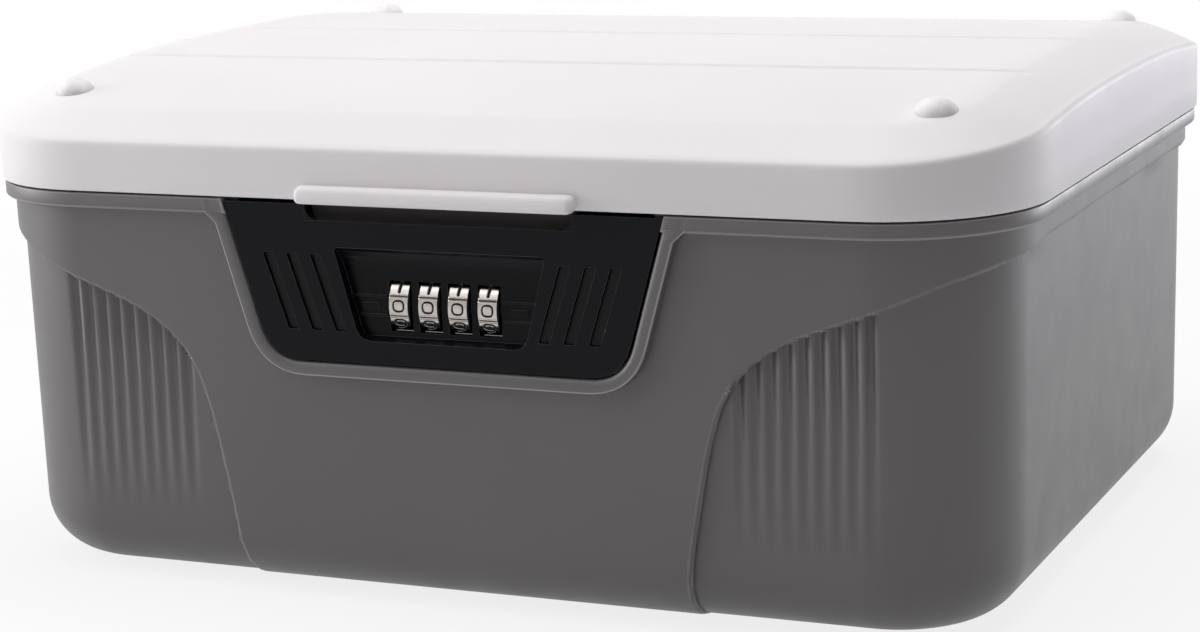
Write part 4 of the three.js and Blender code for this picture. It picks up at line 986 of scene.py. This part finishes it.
@dataclass
class Lid:
    """The white lid: a skirt, a tight ridge, a bevel, and a crown with three shallow cross grooves."""

    outline: Outline
    bottom: float = 108.2
    wall: float = 2.5
    edge: float = 0.5
    ridge_inset: float = 1.6
    ridge_round: float = 2.0
    arch_centre: float = 3.0
    ridge_peak: float = 130.7
    ridge_fall: float = 7.9
    ridge_power: float = 2.4
    crown_peak: float = 136.99
    crown_fall: float = 11.3
    crown_power: float = 3.0
    bevel: float = 15.0
    bevel_ease: float = 0.3
    grooves: tuple[float, ...] = (-51.0, 11.0, 73.0)
    groove_rows: tuple[float, ...] = (0, 0.4, 0.8, 1.1, 1.4, 1.7, 2.0, 2.3, 2.6, 3.2)
    groove_half: float = 2.0
    groove_depth: float = 1.0
    tab_half: float = 39.5
    tab_shift: float = 0.5
    tab_foot: float = 107.6
    tab_height: float = 4.6
    tab_reach: float = 4.05
    tab_root: float = 1.4
    tab_round: float = 1.9
    tab_lean: float = 0.25
    tab_power: float = 0.6
    rib_half: float = 0.8
    rib_drop: float = 8.0
    rib_weld: float = 0.4
    rib_x: float = 62.0
    rib_y: float = 45.0
    long_rib_end: float = 104.0
    cross_rib_end: float = 131.0
    cross_rib_cut: Pair = (5.0, 1.2)
    boss_x: float = 11.5
    boss_y: float = -102.2
    boss_heights: Pair = (115.0, 128.4)
    boss_radius: float = 3.6
    boss_edge: float = 0.4
    disc_drop: float = 4.6
    disc_radius: float = 8.0
    disc_height: float = 2.2
    disc_edge: float = 0.6
    knuckle_x: float = 85.0
    knuckle_half: float = 7.0
    pad_x: float = 124.5
    pad_y: float = 94.0

    def way(self, y: np.ndarray) -> np.ndarray:
        """Gives the way from the arch's middle as a share of the half depth."""
        return np.abs(y - self.arch_centre) / self.outline.half_depth

    def ridge(self, y: np.ndarray) -> np.ndarray:
        """Gives the ridge's height: the peak less fall * |y - centre|^power over the half depth."""
        return self.ridge_peak - self.ridge_fall * self.way(y) ** self.ridge_power

    def crown(self, y: np.ndarray | float) -> np.ndarray | float:
        """Gives the crown's height, an arch of the same kind."""
        return self.crown_peak - self.crown_fall * self.way(y) ** self.crown_power

    def grooved(self, height: np.ndarray, y: np.ndarray) -> np.ndarray:
        """Sinks the grooves: inside each, the height is at most the crown less a soft-sided trough."""
        for centre in self.grooves:
            trough = 1 - smooth_step(np.abs(y - centre), self.groove_half * 0.55, self.groove_half * 1.1)
            sunk = np.minimum(height, self.crown(y) - self.groove_depth * trough)
            height = np.where(trough > 0, sunk, height)
        return height

    @property
    def corner(self) -> float:
        """The radius of the crown's own corners."""
        return self.outline.radius - self.ridge_inset - self.bevel

    def top_lines(self) -> tuple[np.ndarray, np.ndarray]:
        """Places the rows and columns of the crown's grid.

        Returns:
            The y of each row, and the share of the half width of each column.
        """
        arc = self.outline.flat_y + self.corner * np.sin(np.linspace(0, QUARTER, 13))
        offsets = np.array(self.groove_rows)
        near = np.concatenate([centre + side * offsets for centre in self.grooves for side in (-1, 1)])
        even = np.arange(-78, 82, 7.0)
        far = np.abs(even[:, None] - np.array(self.grooves)).min(axis=1) > 5
        rows = np.unique(np.round(np.concatenate([-arc, arc, near, even[far]]), 4))
        return rows, np.linspace(-1, 1, 41)

    def half_at(self, rows: np.ndarray) -> np.ndarray:
        """Gives the crown's half width at each row, narrowed round its corners."""
        over = np.clip(np.abs(rows) - self.outline.flat_y, 0, self.corner)
        return self.outline.flat_x + np.sqrt(np.maximum(self.corner ** 2 - over ** 2, 0))

    def loop(self, rows: np.ndarray, shares: np.ndarray) -> tuple[np.ndarray, np.ndarray]:
        """Gives anchors and directions of the points round the crown's grid, counter-clockwise."""
        x = self.outline.flat_x * shares[1:-1]
        clamp = np.clip(rows, -self.outline.flat_y, self.outline.flat_y)
        over = (rows - clamp) / self.corner
        side = np.stack([np.sqrt(np.maximum(1 - over ** 2, 0)), over], axis=1)
        side_anchor = np.stack([np.full_like(rows, self.outline.flat_x), clamp], axis=1)
        front = np.stack([x, np.full(len(x), -self.outline.flat_y)], axis=1)
        down = np.tile([0.0, -1.0], (len(x), 1))
        anchors = np.concatenate([front, side_anchor, (front * [1, -1])[::-1], (side_anchor * [-1, 1])[::-1]])
        directions = np.concatenate([down, side, -down, (side * [-1, 1])[::-1]])
        return anchors, directions

    def slope(self, anchors: np.ndarray, directions: np.ndarray,
              share: float) -> tuple[float, np.ndarray, np.ndarray]:
        """Gives one level of the bevel, from share 0 at the ridge to 1 at the crown.

        Returns:
            The level's inset, the height of each point and its y.
        """
        inset = self.ridge_inset + self.bevel * share
        y = (anchors + (self.outline.radius - inset) * directions)[:, 1]
        rise = share * (1 + self.bevel_ease * (1 - share))
        return inset, self.ridge(y) * (1 - rise) + self.crown(y) * rise, y

    def levels(self, anchors: np.ndarray, directions: np.ndarray) -> list[tuple[float, np.ndarray | float]]:
        """Lists inset and height of each level: bevel, ridge, skirt, lower edge, inner wall, inner bevel."""
        levels = []
        for share in np.linspace(1, 0, 15):
            inset, height, y = self.slope(anchors, directions, share)
            levels.append((inset, self.grooved(height, y)))
        ridge = self.ridge((anchors + self.outline.radius * directions)[:, 1])
        for turn in np.radians([15, 32, 50, 68, 90]):
            levels.append((self.ridge_inset * (1 - math.sin(turn)),
                           ridge - self.ridge_round * (1 - math.cos(turn))))
        edge, bottom = self.edge, self.bottom
        foot = bottom + edge
        levels += [(0.0, foot + (ridge - self.ridge_round - foot) * share) for share in (0.66, 0.33)]
        levels += [(0.0, foot), (0.3 * edge, bottom + 0.3 * edge), (edge, bottom), (self.wall - edge, bottom),
                   (self.wall, foot), (self.wall, ridge - self.wall - self.ridge_round)]
        for share in (0.12, 0.35, 0.7, 1.0):
            inset, height, _ = self.slope(anchors, directions, share)
            levels.append((inset, height - self.wall))
        return levels

    def shell(self) -> Object:
        """Builds the crown as a grid and carries bevel, ridge, skirt and inner wall round its edge."""
        rows, shares = self.top_lines()
        y = np.repeat(rows[:, None], len(shares), 1)
        x = self.half_at(rows)[:, None] * shares
        crown = np.stack([x, y, self.grooved(self.crown(y), y)], 2)
        below = np.stack([x, y, self.crown(y) - self.wall], 2)
        anchors, directions = self.loop(rows, shares)
        band = np.stack([np.column_stack([anchors + (self.outline.radius - inset) * directions,
                                          np.broadcast_to(height, len(anchors))])
                         for inset, height in self.levels(anchors, directions)])
        top = quads(len(rows), len(shares), wrap=False)
        size = len(rows) * len(shares)
        points = np.concatenate([crown.reshape(-1, 3), below.reshape(-1, 3), band.reshape(-1, 3)])
        return make_object("lid_cover", points, [top, top + size, quads(*band.shape[:2]) + 2 * size], 32.0)

    def tab(self) -> Object:
        """Carries a rounded section along the tab; towards each end it shrinks along a quarter circle.

        The section is |cos t|^power, |sin t|^power and leans back by the lean for each millimetre of height.
        """
        end = self.tab_half - self.tab_round
        reach = self.tab_round * np.sin(np.linspace(0, QUARTER, 7))
        right = np.concatenate([np.linspace(0, end, 8)[:-1], end + reach])
        x = np.concatenate([-right[::-1], right[1:]])
        over = np.clip(np.abs(x) - end, 0, self.tab_round)
        shrink = self.tab_round - np.sqrt(np.maximum(self.tab_round ** 2 - over ** 2, 0))
        turn = np.linspace(0, TURN, 40, endpoint=False)
        front = -(self.outline.half_depth + self.tab_reach)
        back = -(self.outline.half_depth - self.tab_root)
        centre = np.array([(front + back) / 2, self.tab_foot + self.tab_height / 2])
        half = np.array([(back - front) / 2, self.tab_height / 2])
        unit = np.sign(circle(turn)) * np.abs(circle(turn)) ** self.tab_power
        sections = centre + unit * (half - np.minimum(shrink, self.tab_height / 2 - 0.3)[:, None, None])
        sections[..., 0] += self.tab_lean * (sections[..., 1] - self.tab_foot - 1.0)
        along = np.broadcast_to((x + self.tab_shift)[:, None, None], (*sections.shape[:2], 1))
        grid = np.concatenate([along, sections], axis=2)
        return tube("pull_tab", grid, 50.0)

    def ribs(self) -> list[Object]:
        """Makes the ribs under the crown: plates whose upper edge follows the crown's arch."""
        foot = self.crown_peak - self.wall - self.rib_drop
        half, end = self.rib_half, self.long_rib_end
        y = np.linspace(-end, end, 30)
        arch = np.stack([y, self.crown(y) - self.wall + self.rib_weld], axis=1)
        long = np.concatenate([[[-end, foot]], arch, [[end, foot]]])
        plates = [prism(f"lid_rib_{index + 1}", long, x - half, x + half, Axis.X)
                  for index, x in enumerate((-self.rib_x, self.rib_x))]
        end, (cut_x, cut_z) = self.cross_rib_end, self.cross_rib_cut
        for index, place in enumerate((-self.rib_y, self.rib_y)):
            top = self.crown(place) - self.wall + self.rib_weld
            right = np.array([[end, foot], [end, top - cut_z], [end - cut_x, top]])
            across = np.concatenate([right[:1] * [-1, 1], right, right[:0:-1] * [-1, 1]])
            plates.append(prism(f"lid_rib_{index + 3}", across, place - half, place + half, Axis.Y))
        return plates

    def bosses(self) -> list[Object]:
        """Makes the two screw bosses that carry the strike and the four that back the pads."""
        (low, high), radius, edge = self.boss_heights, self.boss_radius, self.boss_edge
        post = np.array([[0, low], [radius - edge, low], [radius, low + edge], [radius, high], [0, high]])
        pieces = [turned(f"strike_boss_{index + 1}", post, (x, self.boss_y, 0), 32)
                  for index, x in enumerate((-self.boss_x, self.boss_x))]
        radius, edge = self.disc_radius, self.disc_edge
        for index, (across, deep) in enumerate(CORNERS):
            low = self.crown(deep * self.pad_y) - self.disc_drop
            top = low + self.disc_height
            disc = np.array([[0, low], [radius - edge, low], [radius, low + edge], [radius, top], [0, top]])
            centre = (across * self.pad_x, deep * self.pad_y, 0)
            pieces.append(turned(f"pad_boss_{index + 1}", disc, centre, 32))
        return pieces

    def build(self, finishes: Finishes) -> None:
        """Builds the lid's cover, tab, ribs, bosses and knuckles, and dresses them."""
        finish_piece(self.shell(), finishes.white, Body.LID, Slot.WHITE, "lid_shell")
        half = self.knuckle_half
        hinges = [Hinge().knuckle(f"lid_knuckle_{index + 1}", x - half, x + half, upper=True)
                  for index, x in enumerate((-self.knuckle_x, self.knuckle_x))]
        for piece in [self.tab(), *self.ribs(), *self.bosses(), *hinges]:
            finish_piece(piece, finishes.white, Body.LID, Slot.WHITE)


# Pads and feet


@dataclass
class Rests:
    """The milky pads on the lid and the dark feet under the tub."""

    lid: Lid
    pad_radius: float = 5.5
    pad_height: float = 3.5
    pad_seat: float = 2.0
    pad_step: float = 0.3
    foot_radius: float = 7.0
    foot_height: float = 2.3
    foot_stand: float = 1.4
    foot_x: float = 105.0
    foot_y: float = 78.0

    def pad(self, name: str, x: float, y: float) -> Object:
        """Turns a pad: a plug, a small shoulder and a dome of height (1 - r^2)^0.62."""
        top = self.lid.crown(y)
        floor, step, radius = top - self.pad_seat + self.pad_step, self.pad_step, self.pad_radius
        share = np.sin(np.linspace(QUARTER, 0, 18))
        dome = np.stack([radius * share, top + self.pad_height * (1 - share ** 2) ** 0.62], 1)
        profile = np.concatenate([[[0, floor], [radius - step, floor], [radius, floor + step]], dome])
        return turned(name, profile, (x, y, 0.0))

    def foot(self, name: str, x: float, y: float) -> Object:
        """Turns a foot: a flat disc with a rounded lower edge and a shallow dish."""
        low, radius = -self.foot_stand, self.foot_radius
        top = low + self.foot_height
        profile = np.array([
            [0, low + 0.25], [radius - 2.4, low + 0.25], [radius - 1.8, low], [radius - 0.6, low],
            [radius - 0.17, low + 0.17], [radius, low + 0.6], [radius, top], [0, top]])
        return turned(name, profile, (x, y, 0.0))

    def build(self, finishes: Finishes) -> None:
        """Builds all eight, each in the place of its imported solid."""
        for index, (x, y) in enumerate(CORNERS):
            pad = self.pad(f"clear_pad_{index + 1}", x * self.lid.pad_x, y * self.lid.pad_y)
            finish_piece(pad, finishes.clear, Body.LID, Slot.CLEAR, f"stack_pad_{index + 1}")
            foot = self.foot(f"rubber_foot_{index + 1}", x * self.foot_x, y * self.foot_y)
            finish_piece(foot, finishes.dark, Body.BOX, Slot.DARK, f"foot_{index + 1}")


# Dials


@dataclass
class Figures:
    """The figures 0 to 9 as strokes on a unit square, one centre line for each."""

    squareness: float = 0.72

    def ring(self, centre: Pair, half: Pair, start: float = 0.0, sweep: float = 360.0) -> np.ndarray:
        """Draws a squarish ring or part of one with 40 points, as cos and sin raised to a power.

        Args:
            centre: the ring's middle.
            half: its half width and half height.
            start: where it begins, in degrees counted from +x.
            sweep: how far it runs, in degrees.
        """
        turn = np.radians(np.linspace(start, start + sweep, 40))
        unit = np.sign(circle(turn)) * np.abs(circle(turn)) ** self.squareness
        return np.array(centre) + unit * np.array(half)

    def strokes(self, figure: int) -> list[np.ndarray]:
        """Gives the centre lines of one figure, x and y between -1 and 1."""
        swan = self.ring((0, 0.45), (0.9, 0.55), 160, -200)
        bowl = self.ring((0, -0.35), (0.9, 0.62), 130, -280)
        tail = np.array([[0.93, 0.3], [0.7, -0.5], [-0.2, -1.0], [-0.7, -0.95]])
        lines = {
            0: [self.ring((0, 0), (1, 1))],
            1: [np.array([[0.0, 1.0], [0.0, -1.0]])],
            2: [np.concatenate([swan, [[-0.95, -1.0], [1.0, -1.0]]])],
            3: [self.ring((-0.05, 0.5), (0.85, 0.5), 150, -240),
                self.ring((-0.05, -0.5), (0.9, 0.5), 90, -240)],
            4: [np.array([[0.45, -1.0], [0.45, 1.0], [-1.0, -0.45], [1.0, -0.45]])],
            5: [np.concatenate([[[0.85, 1.0], [-0.75, 1.0], [-0.8, 0.15]], bowl])],
            6: [self.ring((0, -0.4), (0.95, 0.6)), -tail],
            7: [np.array([[-0.95, 1.0], [0.95, 1.0], [0.0, -0.2], [-0.25, -1.0]])],
            8: [self.ring((0, 0.5), (0.8, 0.48)), self.ring((0, -0.48), (0.95, 0.52))],
            9: [self.ring((0, 0.4), (0.95, 0.6)), tail],
        }
        return lines[figure]


@dataclass
class DialRow:
    """The four dial wheels with engraved, inked figures and a fine line between each two, darkened with
    painted shade.
    """

    pitch: float = 8.5
    radius: float = 8.4
    width: float = 5.5
    axis_y: float = -111.65
    axis_z: float = 80.4
    bore: float = 4.35
    key: float = 5.25
    key_half_turn: float = 0.21
    recess: float = 5.35
    recess_depth: float = 1.15
    hollow: float = 0.02
    ridge_rise: float = 0.1
    ridge_half: float = 0.62
    line_half: float = 0.17
    line_depth: float = 0.3
    figure_half_width: float = 1.5
    figure_half_height: float = 1.45
    stroke: float = 0.27
    bar: float = 0.4
    engraving: float = 0.14
    edge: float = 0.3
    tilt: float = -2.4
    columns: int = 720
    rows: int = 37

    @property
    def step(self) -> float:
        """The way round the rim from one figure to the next."""
        return self.radius * TURN / 10

    def ink_at(self, arc: np.ndarray, across: np.ndarray, figures: Figures) -> np.ndarray:
        """Marks the engraved strokes: 1 within half a stroke of a figure's centre line, 0 outside.

        Args:
            arc: the way round the rim, upwards, in steps of one figure, with figure 0 at 0.
            across: the place across the wheel, in millimetres.
            figures: the strokes.
        """
        mark = np.zeros(arc.shape)
        size = np.array([self.figure_half_width, self.figure_half_height])
        for figure in range(10):
            way = (arc - figure + 5) % 10 - 5
            near = np.abs(way) < 0.5
            points = np.stack([across[near], way[near] * self.step], axis=1)
            gap = np.full(len(points), 9.0)
            for line in figures.strokes(figure):
                start, end = line[:-1] * size, line[1:] * size
                span = end - start
                offset = points[:, None] - start
                share = np.clip((offset * span).sum(2) / np.maximum((span ** 2).sum(1), 1e-9), 0, 1)
                away = np.hypot(*np.moveaxis(offset - share[..., None] * span, 2, 0))
                gap = np.minimum(gap, away.min(axis=1))
            half = self.bar if figure == 1 else self.stroke
            mark[near] = np.maximum(mark[near], 1 - smooth_step(gap, half - 0.07, half + 0.07))
        return mark

    def rim_at(self, arc: np.ndarray, ink: np.ndarray) -> tuple[np.ndarray, np.ndarray]:
        """Gives the rim's radius: the wheel's less the hollow of each field and the engraving.

        Between two fields stands a ridge with a fine line along its middle.

        Args:
            arc: the way round the rim, in steps of one figure.
            ink: the mark of the figures.

        Returns:
            The radius, and at each point the figures' ink together with painted shade along the lines.
        """
        between = np.abs((arc % 1) - 0.5) * self.step
        field_half = self.step / 2 - self.ridge_half
        dish = 1 - np.clip((between - self.ridge_half - field_half) / field_half, -1, 1) ** 2
        ridge = 1 - smooth_step(between, self.ridge_half - 0.16, self.ridge_half)
        line = 1 - smooth_step(between, self.line_half * 0.4, self.line_half * 1.3)
        sunk = (self.ridge_rise + self.hollow * dish) * (1 - ridge) + self.line_depth * line
        # The lines join the mark at 0.8: painted shade in their grooves, beside the figures' ink.
        return self.radius - sunk - self.engraving * ink, np.maximum(ink, 0.8 * line)

    def wheel(self, index: int, figures: Figures) -> Object:
        """Builds one wheel on a grid of angle and profile: rim, rounded edges, sides and keyed bore.

        Args:
            index: the wheel's place in the row, from the left.
            figures: the strokes of the figures.

        Returns:
            The wheel, with its engraving and the painted shade of its fine lines marked in the attribute ink.
        """
        turn = np.linspace(0, TURN, self.columns, endpoint=False)
        half = self.width / 2
        across = np.linspace(-half + self.edge, half - self.edge, self.rows)
        arc, place = np.meshgrid((math.radians(self.tilt) - turn) * 10 / TURN, across)
        rim, mark = self.rim_at(arc, self.ink_at(arc, place, figures))
        from_key = np.abs((turn - QUARTER + math.pi) % TURN - math.pi)
        bore = np.where(from_key < self.key_half_turn, self.key, self.bore)
        plain = np.ones(self.columns)
        outer = [(half - self.edge * 0.3, plain * (self.radius - self.edge * 0.3)),
                 (half, plain * (self.radius - self.edge))]
        inner = half - self.recess_depth
        rows = [(-half, bore), *[(-x, radius) for x, radius in outer[::-1]], *zip(across, rim), *outer,
                (half, plain * self.recess), (inner, plain * self.recess), (inner, bore)]
        x = np.array([row[0] for row in rows])[:, None] + np.zeros(self.columns) + (index - 1.5) * self.pitch
        radius = np.stack([row[1] for row in rows])
        grid = np.stack([x, self.axis_y - radius * np.cos(turn), self.axis_z - radius * np.sin(turn)], axis=2)
        count, columns = len(rows), self.columns
        closing = quads(2, columns)
        closing = np.where(closing >= columns, closing - columns, closing + (count - 1) * columns)
        faces = [quads(count, columns), closing]
        piece = make_object(f"dial_{index + 1}", grid.reshape(-1, 3), faces, 42.0)
        marks = np.zeros((count, columns))
        marks[3:3 + self.rows] = mark
        store(piece, "ink", marks.ravel())
        return piece

    def build(self, finishes: Finishes) -> None:
        """Builds the four wheels, each on its own turning body."""
        for index in range(4):
            finish_piece(self.wheel(index, Figures()), finishes.nickel, f"dial_{index + 1}", Slot.NICKEL,
                         f"dial_wheel_{index + 1}")


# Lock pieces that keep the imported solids


@dataclass
class LockWorks:
    """The fascia, the housing and the works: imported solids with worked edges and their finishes."""

    edge: float = 0.22
    fine_edge: float = 0.08
    scoop_half: float = 38.12
    scoop_foot: float = 102.78
    scoop_corner: float = 3.9
    scoop_front: float = -121.4
    scoop_back: float = -117.42
    slot_half: float = 1.5
    slot_top: float = 49.7
    slot_pitch: float = 7.0
    slot_drift: float = 6.67
    slot_heights: Pair = (73.6, 93.7)
    slot_depths: Pair = (-120.6, -119.8)

    def soften(self, node: str, width: float, material: int = -1) -> None:
        """Merges a solid's triangles, clears flat seams and rounds its edges, all by modifiers.

        Args:
            node: the solid's name.
            width: how far the rounding reaches, in millimetres.
            material: the material slot of the rounded edges; -1 keeps the one beside them.
        """
        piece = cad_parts[node]
        merge = piece.modifiers.new("merge", "WELD")
        merge.merge_threshold = 1e-5
        flat = piece.modifiers.new("flat", "DECIMATE")
        flat.decimate_type = "DISSOLVE"
        flat.angle_limit = math.radians(0.6)
        edge = bevel(piece, width, 28)
        edge.harden_normals = True
        edge.material = material

    def scoop(self) -> Object:
        """Lines the finger scoop with a cove, a quarter circle that rises from its front to its back; its
        finish paints bounce light into the scoop.
        """
        front, back, foot = self.scoop_front + 0.15, self.scoop_back - 0.03, self.scoop_foot - 0.03
        half = self.scoop_half - 0.12
        turn = np.linspace(0, QUARTER, 14)
        arc = np.stack([front + (back - front) * np.sin(turn),
                        foot + 0.08 + self.scoop_corner * (1 - np.cos(turn))], axis=1)
        outline = np.concatenate([[[front, foot]], arc, [[back, foot]]])
        return prism("scoop_cove", outline, -half, half, Axis.X)

    def corners(self) -> list[Object]:
        """Rounds the scoop's lower corners: a square less a quarter circle, pushed through its depth."""
        turn = np.linspace(0, QUARTER, 10)
        size, reach, foot = self.scoop_corner, self.scoop_half, self.scoop_foot
        arc = np.stack([-reach + size * (1 - np.cos(turn)), foot + size * (1 - np.sin(turn))], axis=1)
        left, depths = np.concatenate([[[-reach, foot]], arc[::-1]]), (self.scoop_front, self.scoop_back)
        return [prism(f"scoop_corner_{index + 1}", left * [side, 1], *depths, Axis.Y)
                for index, side in enumerate((1, -1))]

    def slot_floors(self) -> list[Object]:
        """Lays a shallow floor into each of the six leaning slots, which its finish paints lighter than the
        fascia: painted light.
        """
        half, drift, (low, high) = self.slot_half, self.slot_drift, self.slot_heights
        plates = []
        for index in range(6):
            side, top = (1 if index < 3 else -1), self.slot_top - self.slot_pitch * (index % 3)
            outline = np.array([[top - drift - half, low], [top - drift + half, low], [top + half, high],
                                [top - half, high]])
            plates.append(prism(f"slot_floor_{index + 1}", outline * [side, 1], *self.slot_depths, Axis.Y))
        return plates

    def dress(self, nodes: list[str], material: Material) -> None:
        """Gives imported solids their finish."""
        for node in nodes:
            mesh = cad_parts[node].data
            mesh.materials.clear()
            mesh.materials.append(material)
            LOG.info("%s keeps its solid", node)

    def build(self, finishes: Finishes) -> None:
        """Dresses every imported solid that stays, and adds what lines the scoop and the slots."""
        four = range(1, 5)
        self.dress(["lock_bezel"], finishes.fascia)
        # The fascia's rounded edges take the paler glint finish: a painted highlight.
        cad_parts["lock_bezel"].data.materials.append(finishes.painted_glint)
        self.dress(["lock_housing", "code_change_slide"], finishes.black)
        # The cove is painted lighter than the fascia round it: painted bounce light in the scoop.
        finish_piece(self.scoop(), finishes.painted_bounce, Body.BOX, Slot.BLACK)
        for piece in self.slot_floors():
            # The slot floors are painted lighter than the fascia: painted light.
            finish_piece(piece, finishes.painted_slot_light, Body.BOX, Slot.BLACK)
        for piece in self.corners():
            finish_piece(piece, finishes.fascia, Body.BOX, Slot.BLACK)
        self.dress(["detent_comb"], finishes.blued)
        self.dress(["dial_shaft", "latch_pin", "shaft_spring", "latch_spring_left", "latch_spring_right",
                    "hinge_pin_left", "hinge_pin_right", "strike_plate", "strike_screw_1", "strike_screw_2",
                    *[f"housing_screw_{number}" for number in four]], finishes.steel)
        self.dress(["latch", *[f"code_sleeve_{number}" for number in four]], finishes.zinc)
        # Material 1 is the painted highlight on the rounded edges.
        self.soften("lock_bezel", self.edge, material=1)
        for node in ("lock_housing", "code_change_slide", "strike_plate", "latch"):
            self.soften(node, self.fine_edge)


# Floor, light and camera


@dataclass
class Studio:
    """A pale floor, four soft lamps, a dark card and the camera."""

    floor_half: float = 3.0
    floor_colour: Triple = (246, 246, 247)
    fade: Pair = (0.25, 0.75)
    fade_low: float = 0.82
    sky_fill: float = 0.15
    card_turn: float = 0.65
    card_away: float = 1.25
    card_half: float = 0.75
    card_heights: Pair = (0.52, 1.35)
    card_colour: Triple = (40, 40, 42)
    camera_place: Triple = (331.6, -771.1, 230.3)
    camera_aim: Triple = (-8.68, -0.12, 53.76)
    camera_roll: float = -0.0344
    camera_focus: float = 2898.0 / 1200

    @staticmethod
    def sheet(name: str, corners: list[Triple], material: Material) -> Object:
        """Spans a flat sheet between four corners, in metres."""
        mesh = bpy.data.meshes.new(name)
        mesh.from_pydata(corners, [], [(0, 1, 2, 3)])
        mesh.materials.append(material)
        thing = link_object(name, mesh)
        return thing

    def floor(self) -> None:
        """Lays the floor: pale near the box, where it keeps the shadow, and white further out."""
        material = bpy.data.materials.new("pale_floor")
        bench = NodeBench.on(material)
        away = bench.feed("VectorMath", {0: bench.places()}, "Value", operation="LENGTH")
        fade = bench.ramp(away, self.fade, (self.fade_low, 1.0), interpolation_type="SMOOTHSTEP")
        plain = bench.feed("BsdfDiffuse", {"Color": linear(*self.floor_colour)})
        white = bench.feed("Emission", {"Strength": 1.0})
        factor = bench.feed("Math", {0: bench.seen(), 1: fade}, operation="MULTIPLY")
        bench.feed("OutputMaterial", {"Surface": bench.feed("MixShader", {0: factor, 1: plain, 2: white})})
        half = self.floor_half
        self.sheet("floor", [(across * half, deep * half, 0) for across, deep in CORNERS], material)

    def sky(self) -> None:
        """Surrounds the box with white for the eye and a weak fill for scattered light."""
        world = bpy.data.worlds.new("white_room")
        bench = NodeBench.on(world)
        level = bench.ramp(bench.seen(), (0.0, 1.0), (self.sky_fill, 1.0))
        bench.feed("OutputWorld", {"Surface": bench.feed("Background", {"Strength": level})})
        bpy.context.scene.world = world

    def card(self) -> None:
        """Stands a dark card at the front left: bright metal mirrors it as a band, no camera sees it."""
        material = bpy.data.materials.new("dark_card")
        bench = NodeBench.on(material)
        plain = bench.feed("BsdfDiffuse", {"Color": linear(*self.card_colour)})
        bench.feed("OutputMaterial", {"Surface": plain})
        across, deep = math.cos(self.card_turn), math.sin(self.card_turn)
        middle = Vector((-deep, -across, 0)) * self.card_away
        side = Vector((across, -deep, 0)) * self.card_half
        low, high = self.card_heights
        places = ((-1, low), (1, low), (1, high), (-1, high))
        corners = [tuple(middle + side * sign + Vector((0, 0, height))) for sign, height in places]
        self.sheet("card", corners, material).visible_camera = False

    @staticmethod
    def softbox(name: str, place: Triple, aim: Triple, size: Pair, power: float,
                tint: Triple = (1, 1, 1)) -> None:
        """Hangs a soft rectangular lamp at a place in metres and turns it towards an aim.

        Args:
            name: the lamp's name.
            place: where its middle hangs.
            aim: where it looks.
            size: its width and height, in metres.
            power: its power, in watts.
            tint: its colour.
        """
        lamp = bpy.data.lights.new(name, "AREA")
        lamp.shape = "RECTANGLE"
        lamp.size, lamp.size_y = size
        lamp.energy = power
        lamp.color = tint
        holder = link_object(name, lamp)
        holder.location = place
        holder.rotation_euler = (Vector(aim) - Vector(place)).to_track_quat("-Z", "Y").to_euler()

    def lights(self) -> None:
        """Hangs a broad lamp overhead, a key at the front left, a low one left, a strip behind right."""
        self.softbox("overhead", (0.05, 0.1, 1.15), (0, 0, 0.1), (1.1, 0.9), 9.6)
        self.softbox("key", (-0.7, -0.55, 0.95), (0, -0.05, 0.06), (1.0, 1.0), 4.8)
        self.softbox("left", (-1.0, -0.35, 0.25), (0, -0.05, 0.06), (0.5, 0.4), 4.2)
        self.softbox("side", (0.85, 1.15, 0.17), (0.15, 0, 0.05), (0.9, 0.3), 7.3, (0.92, 0.93, 1.0))

    def camera(self) -> None:
        """Stands the camera where the photograph was taken from, rolled as it was."""
        place, aim = ((np.array(point) + PLACE) * MM for point in (self.camera_place, self.camera_aim))
        forward = Vector(aim - place).normalized()
        right = forward.cross(Vector((0, 0, 1))).normalized()
        up = right.cross(forward)
        cos, sin = math.cos(self.camera_roll), math.sin(self.camera_roll)
        turn = Matrix((cos * right + sin * up, -sin * right + cos * up, -forward)).transposed().to_4x4()
        data = bpy.data.cameras.new("camera")
        data.sensor_fit = "HORIZONTAL"
        data.sensor_width = 36.0
        data.lens = data.sensor_width * self.camera_focus
        data.clip_end = 20.0
        camera = link_object("camera", data)
        camera.matrix_world = Matrix.Translation(Vector(place)) @ turn
        bpy.context.scene.camera = camera

    def build(self) -> None:
        """Sets up the whole studio."""
        self.camera()
        self.floor()
        self.sky()
        self.card()
        self.lights()
        bpy.context.scene.view_settings.view_transform = "Standard"
        LOG.info("studio ready")


def main() -> None:
    """Builds the box from the outside in and sets up the studio."""
    logging.basicConfig(level=logging.INFO, format="%(name)s: %(message)s")
    Studio().build()
    finishes = Finishes()
    outline = Outline()
    lid = Lid(outline)
    Tub(outline, FasciaContour()).build(finishes)
    lid.build(finishes)
    Rests(lid).build(finishes)
    DialRow().build(finishes)
    LockWorks().build(finishes)


if __name__ == "__main__":
    main()
